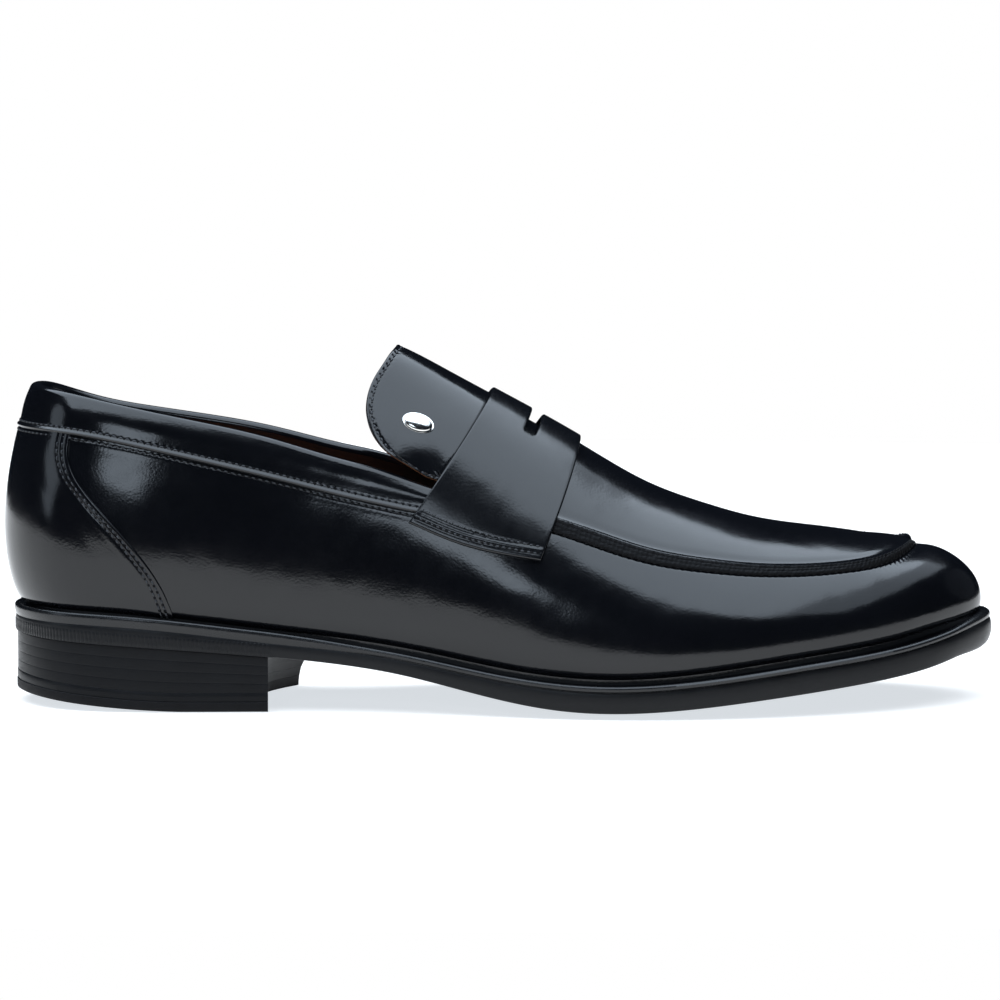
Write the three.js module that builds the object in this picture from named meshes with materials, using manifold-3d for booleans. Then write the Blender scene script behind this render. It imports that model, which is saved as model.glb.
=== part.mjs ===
// Penny loafer for the right foot, in millimetres.
// +X points to the toe, -Y to the outer (lateral) side of the foot and +Z up.
// The origin is the middle of the shoe's box, on the floor.
//
// Every leather layer lies on one surface, the outside of the lasted upper. A point on it has
// two coordinates: phi goes round the sole (0 at the back of the heel, PI at the toe tip, the outer
// side first), and v climbs from the welt (0) to the crest of the instep (1).

import * as THREE from 'three';
import { mergeVertices } from 'three/addons/utils/BufferGeometryUtils.js';
import Module from 'manifold-3d';

const wasm = await Module();
wasm.setup();

// ---------------------------------------------------------------- driving dimensions

const SHOE_LENGTH = 300.5; // back of the counter to the tip of the welt
const ORIGIN = { x: 150.8, y: -0.25 }; // the middle of the whole shoe in plan
const HEEL_BACK = 3; // the sole starts this far in front of the counter's bulge
const OUTLINE_MIDDLE = (HEEL_BACK + SHOE_LENGTH) / 2;
const OUTLINE_HALF = (SHOE_LENGTH - HEEL_BACK) / 2;

// Plan of the outsole as [x, y], from the back of the heel round the outer side to the toe and back.
const OUTLINE = [
  [HEEL_BACK, 0], [7, -14.8], [17.5, -26.6], [36, -32.9], [62, -34], [92, -33.6], [120, -37],
  [150, -45], [180, -50.8], [207, -51], [235, -46], [260, -36.8], [281, -24], [295, -8.5],
  [SHOE_LENGTH, 6], [295, 20.5], [281, 32], [260, 41.4], [235, 48.4], [207, 51], [180, 48],
  [150, 39.5], [120, 31], [92, 28.8], [62, 31.4], [36, 32.4], [17.5, 26.4], [7, 14.7],
];

// Heights above the floor by station x.
const WELT_TOP = [[0, 29.8], [40, 28.8], [80, 24.4], [120, 19.3], [150, 13.9], [183, 11], [212, 12.8],
  [244, 16.8], [275, 21], [300, 27]];
const SOLE_BOTTOM = [[0, 21.6], [40, 19.6], [80, 16.6], [105, 14], [121, 11.5], [136, 8.2], [152, 4.7],
  [167, 2.4], [183, 1.6], [198, 2.1], [228, 5], [259, 8.6], [290, 14.2], [300, 17.4]];
const CREST = [[24, 130], [60, 126], [95, 117], [120, 107.5], [134, 101.1], [147, 93.2], [174, 78.4],
  [196, 66], [212, 59.4], [228, 55.2], [244, 53.2], [262, 51.6]];
const TOPLINE = [[0, 97.4], [9, 97], [35, 92.6], [57, 88], [80, 82.8], [102, 76.4], [115, 73],
  [128, 68.6], [150, 62]];
const COLLAR_SEAM = [[0, 84], [19, 83.6], [43, 79.6], [65, 74.6], [87, 69.3], [102, 65.6], [115, 62.8],
  [128, 60.4], [150, 58.4]];
const TOP_LIFT_RISE = 3.9; // the heel's foot is flat at the breast and rises towards the back
const TOP_LIFT_FLAT_FROM = 55;

// Section of the last by station x: where the two middle points of each meridian's Bezier curve lie.
const LOW_BULGE = [[0, 13], [30, 9], [60, 6.5], [110, 6], [150, 8], [195, 6.5], [250, 5], [285, 4],
  [300, 3.6]];
const LOW_HEIGHT = [[0, 0.25], [60, 0.23], [110, 0.3], [150, 0.385], [195, 0.34], [250, 0.42], [300, 0.55]];
const HIGH_REACH = [[0, 0.94], [60, 0.97], [100, 0.88], [125, 0.75], [150, 0.66], [195, 0.68], [250, 0.64],
  [300, 0.61]];
const HIGH_HEIGHT = [[0, 0.7], [60, 0.71], [100, 0.82], [125, 0.92], [150, 0.95], [195, 0.93], [250, 0.95],
  [300, 0.957]];
const CREST_SWAY = [[0, 0], [60, 0], [120, 1.5], [170, 2.5], [230, 4], [300, 6]];
const CREST_BACK = 24; // the crest line ends here over the heel
const CREST_FRONT = 262; // and here over the toes
const CREST_SOFTNESS = 8;

// Distance from the upper to the sole's edge.
const WELT_WIDTH = [[0, 2.2], [60, 2.4], [120, 2.8], [180, 3.6], [300, 3.6]];
const WELT_THICKNESS = 3.6;
const UPPER_DROP = 3.3; // how far the upper reaches down behind the welt
const SOLE_INSET = 0.6; // the outsole's edge lies this far inside the welt's
const SOLE_CROWN = 1.6; // the outsole's middle hangs this far below its edge

const GAP = 0.3; // between pieces that touch
const SEAM_GAP = 0.012; // and between the edges of pieces in one layer, as a step of v
const LEATHER = 1.1;
const LINING_IN = 3; // depth of the lining's outer face under the upper's surface
const LINING = 0.7;
const STIFFENER_IN = 1.8;
const STIFFENER = 0.7;
const COUNTER_FRONT = { outer: 58, inner: 64 };
const TOE_PUFF_BACK = 252;
const WALL = LINING_IN + LINING;

// Seams and edges on the surface.
const APRON_SEAM = [[150, 0.5], [168, 0.525], [195, 0.555], [230, 0.57], [250, 0.58], [270, 0.62],
  [285, 0.685], [300, 0.76]]; // v by station
const SEAM_BLEND = [130, 160]; // the collar seam runs into the apron seam between these stations
const FOXING_EDGE = [[27, 53], [37.5, 49.4], [46, 44.2], [54, 37.5], [62, 29.8], [70, 23.2], [77, 20.8],
  [84, 21.4]]; // x by height
const COLLAR_FRONT = 138;
const FACING_DEPTH = 12; // width of the black strip inside the topline
const APRON_BACK = 154;
const LINING_SPLIT = 134; // the vamp lining meets the quarter linings here

const STRAP_END = [[0, 0.365], [0.3, 0.345], [0.7, 0.35], [1, 0.372]]; // v from the rear to the front corner
const STRAP_REAR = { crest: 147.6, end: 123.5 };
const STRAP_FRONT = { crest: 174.3, end: 163 };
const STRAP_SWEEP = 1.9; // how its edges bend back from the crest to the ends
const STRAP_LIFT = { crest: 1.5, end: 1.3 };
const STRAP_THICKNESS = 1.2;
const STRAP_LINING_THICKNESS = 0.6;
const STRAP_ROWS = 20; // rows of the strap's grid across the instep
const SLOT = { x: 160.5, width: 3.3, length: 42, tilt: -0.4 };

const TONGUE_SIDE_V = 0.52;
// x of the free end by the square of the share of the way from the crest to the tongue's side.
const TONGUE_END = [[0, 119.4], [0.09, 117], [0.31, 112], [0.52, 111], [0.74, 114.6], [0.9, 121.5], [1, 130]];
const TONGUE_ROOT_CLEAR = 0.4; // the tongue's root ends this far behind the strap
const TONGUE = 1.3;
const TONGUE_LINING_IN = 1.7;
const TONGUE_LINING = 0.6;
const STUD = { x: 126, v: 0.65, long: 9.5, wide: 6, tall: 1.6, shank: 1, washer: 2.6 };
const STUD_RIM = 0.5; // the stud's straight edge below its dome

const BREAST = { outer: 81, inner: 92.5, hollow: 3 }; // front face of the heel
const LIFTS = 4;
const TOP_LIFT = 3;
const TOP_LIFT_BASE = 2.6;
const HEEL_INSET = 0.6;
const NAILS = [[18, 0], [34, -16], [34, 16], [62, -17], [64, 15]];
const NAIL_RADIUS = 1;

const INSOLE = 2.2;
const FILLER = 2;
const FILLER_BACK = 142;
const SOCK = 1;
const HEEL_PAD = 1.6;
const HEEL_PAD_FRONT = 78;

// ---------------------------------------------------------------- curves

const clamp = (t, lo, hi) => Math.min(hi, Math.max(lo, t));
const lerp = (a, b, t) => a + (b - a) * t;
const smooth = (t) => clamp(t, 0, 1) ** 2 * (3 - 2 * clamp(t, 0, 1));
const WALL_ROWS = 7; // rows of a wall's grid above the welt
const steps = (n) => Array.from({ length: n + 1 }, (_, i) => i / n);

// The natural cubic spline through [position, value] points, level beyond its ends.
function spline(points) {
  const x = points.map((p) => p[0]);
  const y = points.map((p) => p[1]);
  const last = x.length - 1;
  const bend = new Array(last + 1).fill(0);
  const work = new Array(last + 1).fill(0);
  for (let i = 1; i < last; i++) {
    const share = (x[i] - x[i - 1]) / (x[i + 1] - x[i - 1]);
    const pivot = share * bend[i - 1] + 2;
    const turn = (y[i + 1] - y[i]) / (x[i + 1] - x[i]) - (y[i] - y[i - 1]) / (x[i] - x[i - 1]);
    bend[i] = (share - 1) / pivot;
    work[i] = ((6 * turn) / (x[i + 1] - x[i - 1]) - share * work[i - 1]) / pivot;
  }
  for (let i = last - 1; i >= 0; i--) bend[i] = i === 0 ? 0 : bend[i] * bend[i + 1] + work[i];
  return (t) => {
    const at = clamp(t, x[0], x[last]);
    let k = 0;
    while (k < last - 1 && at > x[k + 1]) k++;
    const width = x[k + 1] - x[k];
    const b = (at - x[k]) / width;
    const a = 1 - b;
    return a * y[k] + b * y[k + 1] + (((a ** 3 - a) * bend[k] + (b ** 3 - b) * bend[k + 1]) * width ** 2) / 6;
  };
}

const weltTop = spline(WELT_TOP);
const soleBottom = spline(SOLE_BOTTOM);
const crest = spline(CREST);
const topline = spline(TOPLINE);
const collarSeam = spline(COLLAR_SEAM);
const lowBulge = spline(LOW_BULGE);
const lowHeight = spline(LOW_HEIGHT);
const highReach = spline(HIGH_REACH);
const highHeight = spline(HIGH_HEIGHT);
const crestSway = spline(CREST_SWAY);
const weltWidth = spline(WELT_WIDTH);
const apronSeam = spline(APRON_SEAM);
const foxingEdge = spline(FOXING_EDGE);
const tongueEnd = spline(TONGUE_END);
const strapEnd = spline(STRAP_END);

const stationOf = (phi) => OUTLINE_MIDDLE - OUTLINE_HALF * Math.cos(phi);
const phiOf = (x) => Math.acos(clamp((OUTLINE_MIDDLE - x) / OUTLINE_HALF, -1, 1));

// The plan outline is a closed spline of y over phi: its points are repeated one turn either way.
const turn = 2 * Math.PI;
const outlinePoints = OUTLINE.map(([x, y], i) => [i <= OUTLINE.length / 2 ? phiOf(x) : turn - phiOf(x), y]);
const shifted = (by) => outlinePoints.map(([phi, y]) => [phi + by, y]);
const outlineY = spline([...shifted(-turn), ...shifted(0), ...shifted(turn)]);

// A point of the plan, moved inwards from the sole's edge.
function plan(phi, inwards = 0) {
  const step = 1e-3;
  const slope = (outlineY(phi + step) - outlineY(phi - step)) / (2 * step);
  const along = new THREE.Vector2(OUTLINE_HALF * Math.sin(phi), slope).normalize();
  return new THREE.Vector2(stationOf(phi) - along.y * inwards, outlineY(phi) + along.x * inwards);
}

// x held softly between the two ends of the crest line.
function crestStation(x) {
  const above = CREST_BACK + CREST_SOFTNESS * Math.log(1 + Math.exp((x - CREST_BACK) / CREST_SOFTNESS));
  return CREST_FRONT - CREST_SOFTNESS * Math.log(1 + Math.exp((CREST_FRONT - above) / CREST_SOFTNESS));
}

// ---------------------------------------------------------------- the upper's surface

// Each meridian is a Bezier curve from the welt over the bulge of the wall to the crest.
function surface(phi, v) {
  const x = stationOf(phi);
  const foot = plan(phi, weltWidth(x));
  const bulged = plan(phi, weltWidth(x) - lowBulge(x));
  const low = weltTop(x);
  if (v < 0) return new THREE.Vector3(foot.x, foot.y, low + v * UPPER_DROP);
  const topX = crestStation(x);
  const top = new THREE.Vector2(topX, crestSway(topX));
  const high = crest(topX);
  const reach = top.clone().lerp(foot, highReach(x));
  return new THREE.CubicBezierCurve3(
    new THREE.Vector3(foot.x, foot.y, low),
    new THREE.Vector3(bulged.x, bulged.y, lerp(low, high, lowHeight(x))),
    new THREE.Vector3(reach.x, reach.y, lerp(low, high, highHeight(x))),
    new THREE.Vector3(top.x, top.y, high),
  ).getPoint(v);
}

// The outward normal. On the crest it is the mean of the two sides.
function normal(phi, v) {
  if (v > 0.985) return normal(phi, 0.98).add(normal(turn - phi, 0.98)).normalize();
  const step = 0.004;
  const at = Math.max(v, 0.01);
  const round = surface(phi + step, at).sub(surface(phi - step, at));
  const climb = surface(phi, at + step).sub(surface(phi, at - step));
  const n = round.cross(climb);
  return v < 0 ? n.setZ(0).normalize() : n.normalize();
}

const offset = (phi, v, height) => surface(phi, v).addScaledVector(normal(phi, v), height);

// The v at which the meridian reaches a height that depends on the station.
function climbTo(phi, height) {
  let lo = 0;
  let hi = 0.95;
  for (let i = 0; i < 24; i++) {
    const mid = (lo + hi) / 2;
    const p = surface(phi, mid);
    if (p.z < height(p.x)) lo = mid;
    else hi = mid;
  }
  return lo;
}

// Upper edge of the vamp: the collar seam at the back, the apron seam at the front.
function seamV(phi) {
  const x = stationOf(phi);
  const share = smooth((x - SEAM_BLEND[0]) / (SEAM_BLEND[1] - SEAM_BLEND[0]));
  if (share === 1) return apronSeam(x);
  return lerp(climbTo(phi, collarSeam), apronSeam(Math.max(x, SEAM_BLEND[1])), share);
}

const toplineV = (phi) => climbTo(phi, topline);
const facingV = (phi) => climbTo(phi, (x) => topline(x) - FACING_DEPTH);

// The phi at which the foxing's front edge crosses a height, on the outer side.
const foxingPhi = (v) => {
  let phi = phiOf(40);
  for (let i = 0; i < 6; i++) phi = phiOf(foxingEdge(surface(phi, v).z));
  return phi;
};

// ---------------------------------------------------------------- solids

// One closed geometry from triangles, with its shared vertices merged and its slivers dropped.
function closedGeometry(triangles) {
  const raw = new THREE.BufferGeometry().setFromPoints(triangles.flat());
  const merged = mergeVertices(raw, 1e-3);
  const kept = [];
  for (let i = 0; i < merged.index.count; i += 3) {
    const [a, b, c] = [0, 1, 2].map((k) => merged.index.getX(i + k));
    if (a !== b && b !== c && c !== a) kept.push(a, b, c);
  }
  merged.setIndex(kept);
  return merged;
}

// A solid between two grids of points of the same size. A folded grid's last row closes on itself.
function between(upper, lower, folded = false) {
  const rows = upper.length - 1;
  const columns = upper[0].length - 1;
  const triangles = [];
  const quad = (a, b, c, d) => triangles.push([a, b, c], [a, c, d]);
  for (let i = 0; i < rows; i++)
    for (let j = 0; j < columns; j++) {
      quad(upper[i][j], upper[i + 1][j], upper[i + 1][j + 1], upper[i][j + 1]);
      quad(lower[i][j], lower[i][j + 1], lower[i + 1][j + 1], lower[i + 1][j]);
    }
  for (let i = 0; i < rows; i++) {
    quad(upper[i][0], lower[i][0], lower[i + 1][0], upper[i + 1][0]);
    quad(upper[i][columns], upper[i + 1][columns], lower[i + 1][columns], lower[i][columns]);
  }
  for (let j = 0; j < columns; j++) {
    quad(upper[0][j], upper[0][j + 1], lower[0][j + 1], lower[0][j]);
    if (!folded) quad(upper[rows][j], lower[rows][j], lower[rows][j + 1], upper[rows][j + 1]);
  }
  return closedGeometry(triangles);
}

// A leather layer: a grid of [phi, v] pairs, its outer face and its thickness.
function layer(grid, outerFace, thickness, folded = false) {
  const height = (row) => (typeof outerFace === 'function' ? outerFace(row) : outerFace);
  const face = (depth) => grid.map((line, i) => line.map(([phi, v]) => offset(phi, v, height(i) - depth)));
  return between(face(0), face(thickness), folded);
}

// Grid rows along the shoe from the outer side over the crest to the inner side.
function archGrid(fromX, toX, bottomV, rows, columns) {
  return steps(rows).map((s) => {
    const phi = lerp(phiOf(fromX), phiOf(toX), s);
    const foot = bottomV(phi);
    return steps(columns).map((t) => {
      const side = Math.abs(2 * t - 1);
      return [t <= 0.5 ? phi : turn - phi, lerp(1, foot, side)];
    });
  });
}

// A plate on the plan between two heights; rows run from the heel to the front edge.
function plate({
  inwards, top, bottom, rows, columns,
  back = 0, front = SHOE_LENGTH, innerFront = front, hollow = 0, crown = 0,
}) {
  const startPhi = phiOf(back);
  const grid = (height, sag) =>
    steps(rows).map((s) => {
      const outerPhi = lerp(startPhi, phiOf(front), s);
      const innerPhi = turn - lerp(startPhi, phiOf(innerFront), s);
      const outer = plan(outerPhi, inwards(stationOf(outerPhi)));
      const inner = plan(innerPhi, inwards(stationOf(innerPhi)));
      return steps(columns).map((t) => {
        const arch = 4 * t * (1 - t);
        const p = outer.clone().lerp(inner, t);
        return new THREE.Vector3(p.x - hollow * arch * s ** 4, p.y, height(p.x) - sag * arch);
      });
    });
  return between(grid(top, 0), grid(bottom, crown));
}

function toManifold(geometry) {
  const bare = new THREE.BufferGeometry().setAttribute('position', geometry.getAttribute('position'));
  if (geometry.index) bare.setIndex(geometry.index);
  const merged = mergeVertices(bare, 1e-4);
  const vertProperties = new Float32Array(merged.attributes.position.array);
  const triVerts = new Uint32Array(merged.index.array);
  return new wasm.Manifold(new wasm.Mesh({ numProp: 3, vertProperties, triVerts }));
}

function toGeometry(manifold) {
  const mesh = manifold.getMesh();
  return new THREE.BufferGeometry()
    .setAttribute('position', new THREE.BufferAttribute(mesh.vertProperties, 3))
    .setIndex(new THREE.BufferAttribute(mesh.triVerts, 1));
}

const cut = (geometry, ...tools) =>
  toGeometry(tools.reduce((solid, tool) => solid.subtract(toManifold(tool)), toManifold(geometry)));

// ---------------------------------------------------------------- materials

const material = (color, roughness, metalness = 0) =>
  new THREE.MeshStandardMaterial({ color, roughness, metalness });
const blackLeather = material(0x14161a, 0.25);
const tanLeather = material(0xa9683f, 0.6);
const blackLining = material(0x1b1c1e, 0.6);
const textile = material(0xb9a58a, 0.9);
const board = material(0x8a6f52, 0.85);
const cork = material(0xb08a5a, 0.95);
const stiffener = material(0xd8d2c4, 0.7);
const soleLeather = material(0x191b20, 0.45);
const rubber = material(0x121316, 0.7);
const steel = material(0xb8babd, 0.35, 1);
const nickel = material(0xdcdcd8, 0.15, 1);

const shoe = new THREE.Group();
shoe.position.set(-ORIGIN.x, -ORIGIN.y, 0);

function add(name, geometry, finish) {
  const mesh = new THREE.Mesh(geometry, finish);
  mesh.name = name;
  shoe.add(mesh);
}

// ---------------------------------------------------------------- upper

// The one-piece vamp and quarters, from the foxing on the outer side round the toe to the inner side.
function makeVamp() {
  const climb = [-1, ...steps(WALL_ROWS)];
  const grid = steps(46).map((s) =>
    climb.map((t) => {
      const start = foxingPhi(t < 0 ? t : t * seamV(phiOf(30))) + 0.006;
      const phi = lerp(start, turn - start, s);
      return [phi, t < 0 ? t : t * seamV(phi)];
    }),
  );
  return layer(grid, 0, LEATHER);
}

// The top piece inside the raised seam.
function makeApron() {
  const grid = archGrid(APRON_BACK, SHOE_LENGTH, (phi) => seamV(phi) + 0.008, 12, 12);
  return layer(grid, 0, LEATHER, true);
}

// The counter cover round the back of the heel.
function makeFoxing() {
  const climb = [-1, ...steps(WALL_ROWS)];
  const grid = steps(16).map((s) =>
    climb.map((t) => {
      const start = foxingPhi(t < 0 ? t : t * seamV(phiOf(30)));
      const phi = lerp(-start, start, s);
      return [phi, t < 0 ? t : t * seamV(phi)];
    }),
  );
  return layer(grid, 0, LEATHER);
}

// A strip along the topline, round the back from the inner to the outer side.
function toplineStrip(lowV, outerFace, thickness, front) {
  const grid = steps(30).map((s) => {
    const phi = lerp(-phiOf(front), phiOf(front), s);
    return steps(2).map((t) => [phi, lerp(lowV(phi), toplineV(phi), t)]);
  });
  return layer(grid, outerFace, thickness);
}

function makeCollar() {
  const bandFoot = (phi) => seamV(phi) + SEAM_GAP;
  const facingFoot = (phi) => facingV(phi) + SEAM_GAP;
  add('collar_band', toplineStrip(bandFoot, 0, LEATHER, COLLAR_FRONT), blackLeather);
  add('collar_facing', toplineStrip(facingFoot, -LINING_IN, LINING, LINING_SPLIT - 1), blackLining);
}

// The station of a strap edge between the crest (side 0) and the strap's end (side 1).
const strapEdge = (edge, side) => lerp(edge.crest, edge.end, side ** STRAP_SWEEP);

// The saddle strap and its lining, with the coin slot across the crest.
function strapGrid(inset) {
  return steps(STRAP_ROWS).map((t) => {
    const side = Math.abs(2 * t - 1);
    return steps(5).map((s) => {
      const v = lerp(1, strapEnd(1 - s) + inset * 0.012, side);
      const x = lerp(strapEdge(STRAP_FRONT, side) - inset, strapEdge(STRAP_REAR, side) + inset, s);
      return [t <= 0.5 ? phiOf(x) : turn - phiOf(x), v];
    });
  });
}

function slotCutter() {
  const half = (SLOT.length - SLOT.width) / 2;
  const stadium = new THREE.Shape();
  stadium.absarc(0, half, SLOT.width / 2, 0, Math.PI);
  stadium.absarc(0, -half, SLOT.width / 2, Math.PI, 2 * Math.PI);
  const height = 40;
  return new THREE.ExtrudeGeometry(stadium, { depth: height, bevelEnabled: false, curveSegments: 6 })
    .translate(0, 0, -height / 2)
    .rotateY(-SLOT.tilt)
    .translate(SLOT.x, crestSway(SLOT.x), crest(SLOT.x));
}

function makeStrap() {
  const side = (row) => Math.abs((2 * row) / STRAP_ROWS - 1);
  const lift = (extra) => (row) => lerp(STRAP_LIFT.crest, STRAP_LIFT.end, side(row)) + extra;
  const strap = layer(strapGrid(0), lift(STRAP_THICKNESS), STRAP_THICKNESS);
  const lining = layer(strapGrid(1), lift(-GAP), STRAP_LINING_THICKNESS);
  add('strap', cut(strap, slotCutter()), blackLeather);
  add('strap_lining', cut(lining, slotCutter()), blackLining);
}

// ---------------------------------------------------------------- tongue

function tongueGrid(inset) {
  return steps(14).map((t) => {
    const side = Math.abs(2 * t - 1);
    const v = lerp(1, TONGUE_SIDE_V + inset * 0.014, side);
    const strapSide = (1 - v) / (1 - STRAP_END[0][1]);
    const root = strapEdge(STRAP_REAR, strapSide) - TONGUE_ROOT_CLEAR;
    return steps(7).map((s) => {
      const x = lerp(root, tongueEnd(side ** 2) + inset, s);
      return [t <= 0.5 ? phiOf(x) : turn - phiOf(x), v];
    });
  });
}

// An oval stud with a shank that goes through the tongue into a washer.
function makeStud() {
  const at = surface(phiOf(STUD.x), STUD.v);
  const out = normal(phiOf(STUD.x), STUD.v);
  const along = surface(phiOf(STUD.x + 1), STUD.v).sub(at);
  const across = along.clone().cross(out).normalize();
  const frame = new THREE.Matrix4().makeBasis(out.clone().cross(across), out, across).setPosition(at);
  const place = (geometry) => geometry.applyMatrix4(frame);
  const base = GAP + 0.1;
  const end = -(TONGUE_LINING_IN + TONGUE_LINING + 1.6);
  const dome = steps(5).map((t) => {
    const angle = (t * Math.PI) / 2;
    const radius = t === 1 ? 0 : (STUD.wide / 2) * Math.cos(angle);
    return new THREE.Vector2(radius, base + STUD_RIM + (STUD.tall - STUD_RIM) * Math.sin(angle));
  });
  const head = new THREE.LatheGeometry(
    [new THREE.Vector2(0, base), new THREE.Vector2(STUD.wide / 2, base), ...dome], 20)
    .scale(STUD.long / STUD.wide, 1, 1);
  const shank = new THREE.CylinderGeometry(STUD.shank, STUD.shank, base + 0.2 - end, 10)
    .translate(0, (base + 0.2 + end) / 2, 0);
  const washer = new THREE.CylinderGeometry(STUD.washer, STUD.washer, 0.8, 16)
    .translate(0, -(TONGUE_LINING_IN + TONGUE_LINING + 0.8), 0);
  const hole = new THREE.CylinderGeometry(STUD.shank + GAP, STUD.shank + GAP, 12, 10);
  const stud = toGeometry(toManifold(head).add(toManifold(shank)));
  return { stud: place(stud), washer: place(cut(washer, hole)), hole: place(hole) };
}

function makeTongue() {
  const { stud, washer, hole } = makeStud();
  add('tongue', cut(layer(tongueGrid(0), 0, TONGUE), hole), blackLeather);
  add('tongue_lining', cut(layer(tongueGrid(1), -TONGUE_LINING_IN, TONGUE_LINING), hole), blackLining);
  add('tongue_stud', stud, nickel);
  add('stud_washer', washer, nickel);
}

// ---------------------------------------------------------------- linings and stiffeners

// Part of the wall between two stations on one side, from the sole to an upper edge.
function wallGrid(fromPhi, toPhi, topV, columns) {
  const climb = [-1, ...steps(WALL_ROWS)];
  return steps(columns).map((s) => {
    const phi = lerp(fromPhi, toPhi, s);
    return climb.map((t) => [phi, t < 0 ? t : t * topV(phi)]);
  });
}

function makeLinings() {
  const backSeam = 0.005;
  const front = phiOf(LINING_SPLIT) - 0.004;
  const outer = wallGrid(backSeam, front, facingV, 16);
  const inner = wallGrid(-front, -backSeam, facingV, 16);
  add('quarter_lining_outer', layer(outer, -LINING_IN, LINING), tanLeather);
  add('quarter_lining_inner', layer(inner, -LINING_IN, LINING), tanLeather);
  const overToes = archGrid(LINING_SPLIT, SHOE_LENGTH, () => -1, 16, 20);
  add('vamp_lining', layer(overToes, -LINING_IN, LINING, true), textile);
}

function makeStiffeners() {
  const counterV = (phi) => climbTo(phi, (x) => collarSeam(x) - 6);
  const roundHeel = wallGrid(-phiOf(COUNTER_FRONT.inner), phiOf(COUNTER_FRONT.outer), counterV, 18);
  add('heel_counter', layer(roundHeel, -STIFFENER_IN, STIFFENER), stiffener);
  const overToes = archGrid(TOE_PUFF_BACK, SHOE_LENGTH, () => 0.03, 8, 20);
  add('toe_puff', layer(overToes, -STIFFENER_IN, STIFFENER, true), stiffener);
}

// ---------------------------------------------------------------- bottom

const outsoleTop = (x) => weltTop(x) - WELT_THICKNESS - GAP;
const fillerBottom = (x) => outsoleTop(x) + GAP;
const insoleBottom = (x) => fillerBottom(x) + FILLER + GAP;
const insoleTop = (x) => insoleBottom(x) + INSOLE;
const padBottom = (x) => insoleTop(x) + GAP;
const sockBottom = (x) => padBottom(x) + HEEL_PAD + GAP;

const nailHole = ([x, y]) => new THREE.CylinderGeometry(NAIL_RADIUS + GAP, NAIL_RADIUS + GAP, 80, 8)
  .rotateX(Math.PI / 2).translate(x, y, 20);

// The welt: a strip with a rounded lip that runs right round the upper.
function makeWelt() {
  // The section as shares of the welt's width and of its thickness.
  const lip = [[0, 0], [1, 0], [1.18, 0.3], [1.18, 0.68], [0.95, 0.95], [0.6, 1], [0, 0.82]];
  const rings = 72;
  const triangles = [];
  const ring = (k) => {
    const phi = (turn * k) / rings;
    const x = stationOf(phi);
    const width = weltWidth(x);
    const inner = plan(phi, width - GAP);
    const outer = plan(phi, 0);
    return lip.map(([out, up]) => {
      const p = inner.clone().lerp(outer, Math.min(out, 1));
      const beyond = plan(phi, -(Math.max(out, 1) - 1) * width);
      const q = out > 1 ? beyond : p;
      return new THREE.Vector3(q.x, q.y, weltTop(x) - WELT_THICKNESS * (1 - up));
    });
  };
  for (let k = 0; k < rings; k++) {
    const a = ring(k);
    const b = ring((k + 1) % rings);
    lip.forEach((_, j) => {
      const next = (j + 1) % lip.length;
      triangles.push([a[j], b[j], b[next]], [a[j], b[next], a[next]]);
    });
  }
  return closedGeometry(triangles);
}

function makeBottom() {
  add('welt', makeWelt(), soleLeather);
  const outsole = plate({
    inwards: () => SOLE_INSET, top: outsoleTop, bottom: soleBottom, rows: 30, columns: 4, crown: SOLE_CROWN,
  });
  add('outsole', cut(outsole, ...NAILS.map(nailHole)), soleLeather);
  const inwards = (x) => weltWidth(x) + WALL + 2 * GAP;
  const further = (x) => inwards(x) + 3;
  const insole = plate({ inwards, top: insoleTop, bottom: insoleBottom, rows: 20, columns: 2 });
  add('insole_board', cut(insole, ...NAILS.map(nailHole)), board);
  const sock = { inwards, top: (x) => sockBottom(x) + SOCK, bottom: sockBottom, rows: 20, columns: 2 };
  add('sock_liner', plate(sock), tanLeather);
  const padTop = (x) => padBottom(x) + HEEL_PAD;
  const pad = { inwards: further, top: padTop, bottom: padBottom, rows: 8, columns: 2 };
  add('heel_pad', plate({ ...pad, front: HEEL_PAD_FRONT }), textile);
  const fillerTop = (x) => fillerBottom(x) + FILLER;
  const filler = { inwards: further, top: fillerTop, bottom: fillerBottom, rows: 12, columns: 2 };
  add('cork_filler', plate({ ...filler, back: FILLER_BACK }), cork);
  add('shank', makeShank(), steel);
}

// A sprung steel strip under the waist, from the heel seat to just behind the ball.
function makeShank() {
  const [from, to] = [44, 136];
  const half = 7;
  const grid = (height) => steps(10).map((s) => {
    const x = lerp(from, to, s);
    return [-half, half].map((y) => new THREE.Vector3(x, y, fillerBottom(x) + height));
  });
  return between(grid(1.2), grid(0));
}

// ---------------------------------------------------------------- heel

// The underside of the heel.
function heelFoot(x) {
  const share = (TOP_LIFT_FLAT_FROM - x) / (TOP_LIFT_FLAT_FROM - HEEL_BACK);
  return TOP_LIFT_RISE * clamp(share, 0, 1) ** 1.5;
}

const stackBottom = (x) => heelFoot(x) + TOP_LIFT + TOP_LIFT_BASE + 2 * GAP;
const liftLevel = (k) => (x) => lerp(stackBottom(x), soleBottom(x) - SOLE_CROWN - GAP, k / LIFTS);

const heelPlate = (bottom, top) => plate({
  inwards: () => HEEL_INSET, top, bottom, rows: 12, columns: 4,
  front: BREAST.outer, innerFront: BREAST.inner, hollow: BREAST.hollow,
});

// The inner front corner of the heel slopes back towards the floor.
function cornerCut() {
  const size = 60;
  return new THREE.BoxGeometry(size, size, size)
    .translate(size / 2, 0, -size / 2)
    .rotateY(0.5)
    .rotateZ(0.8)
    .translate(BREAST.inner - 3, 27, 17);
}

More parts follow.
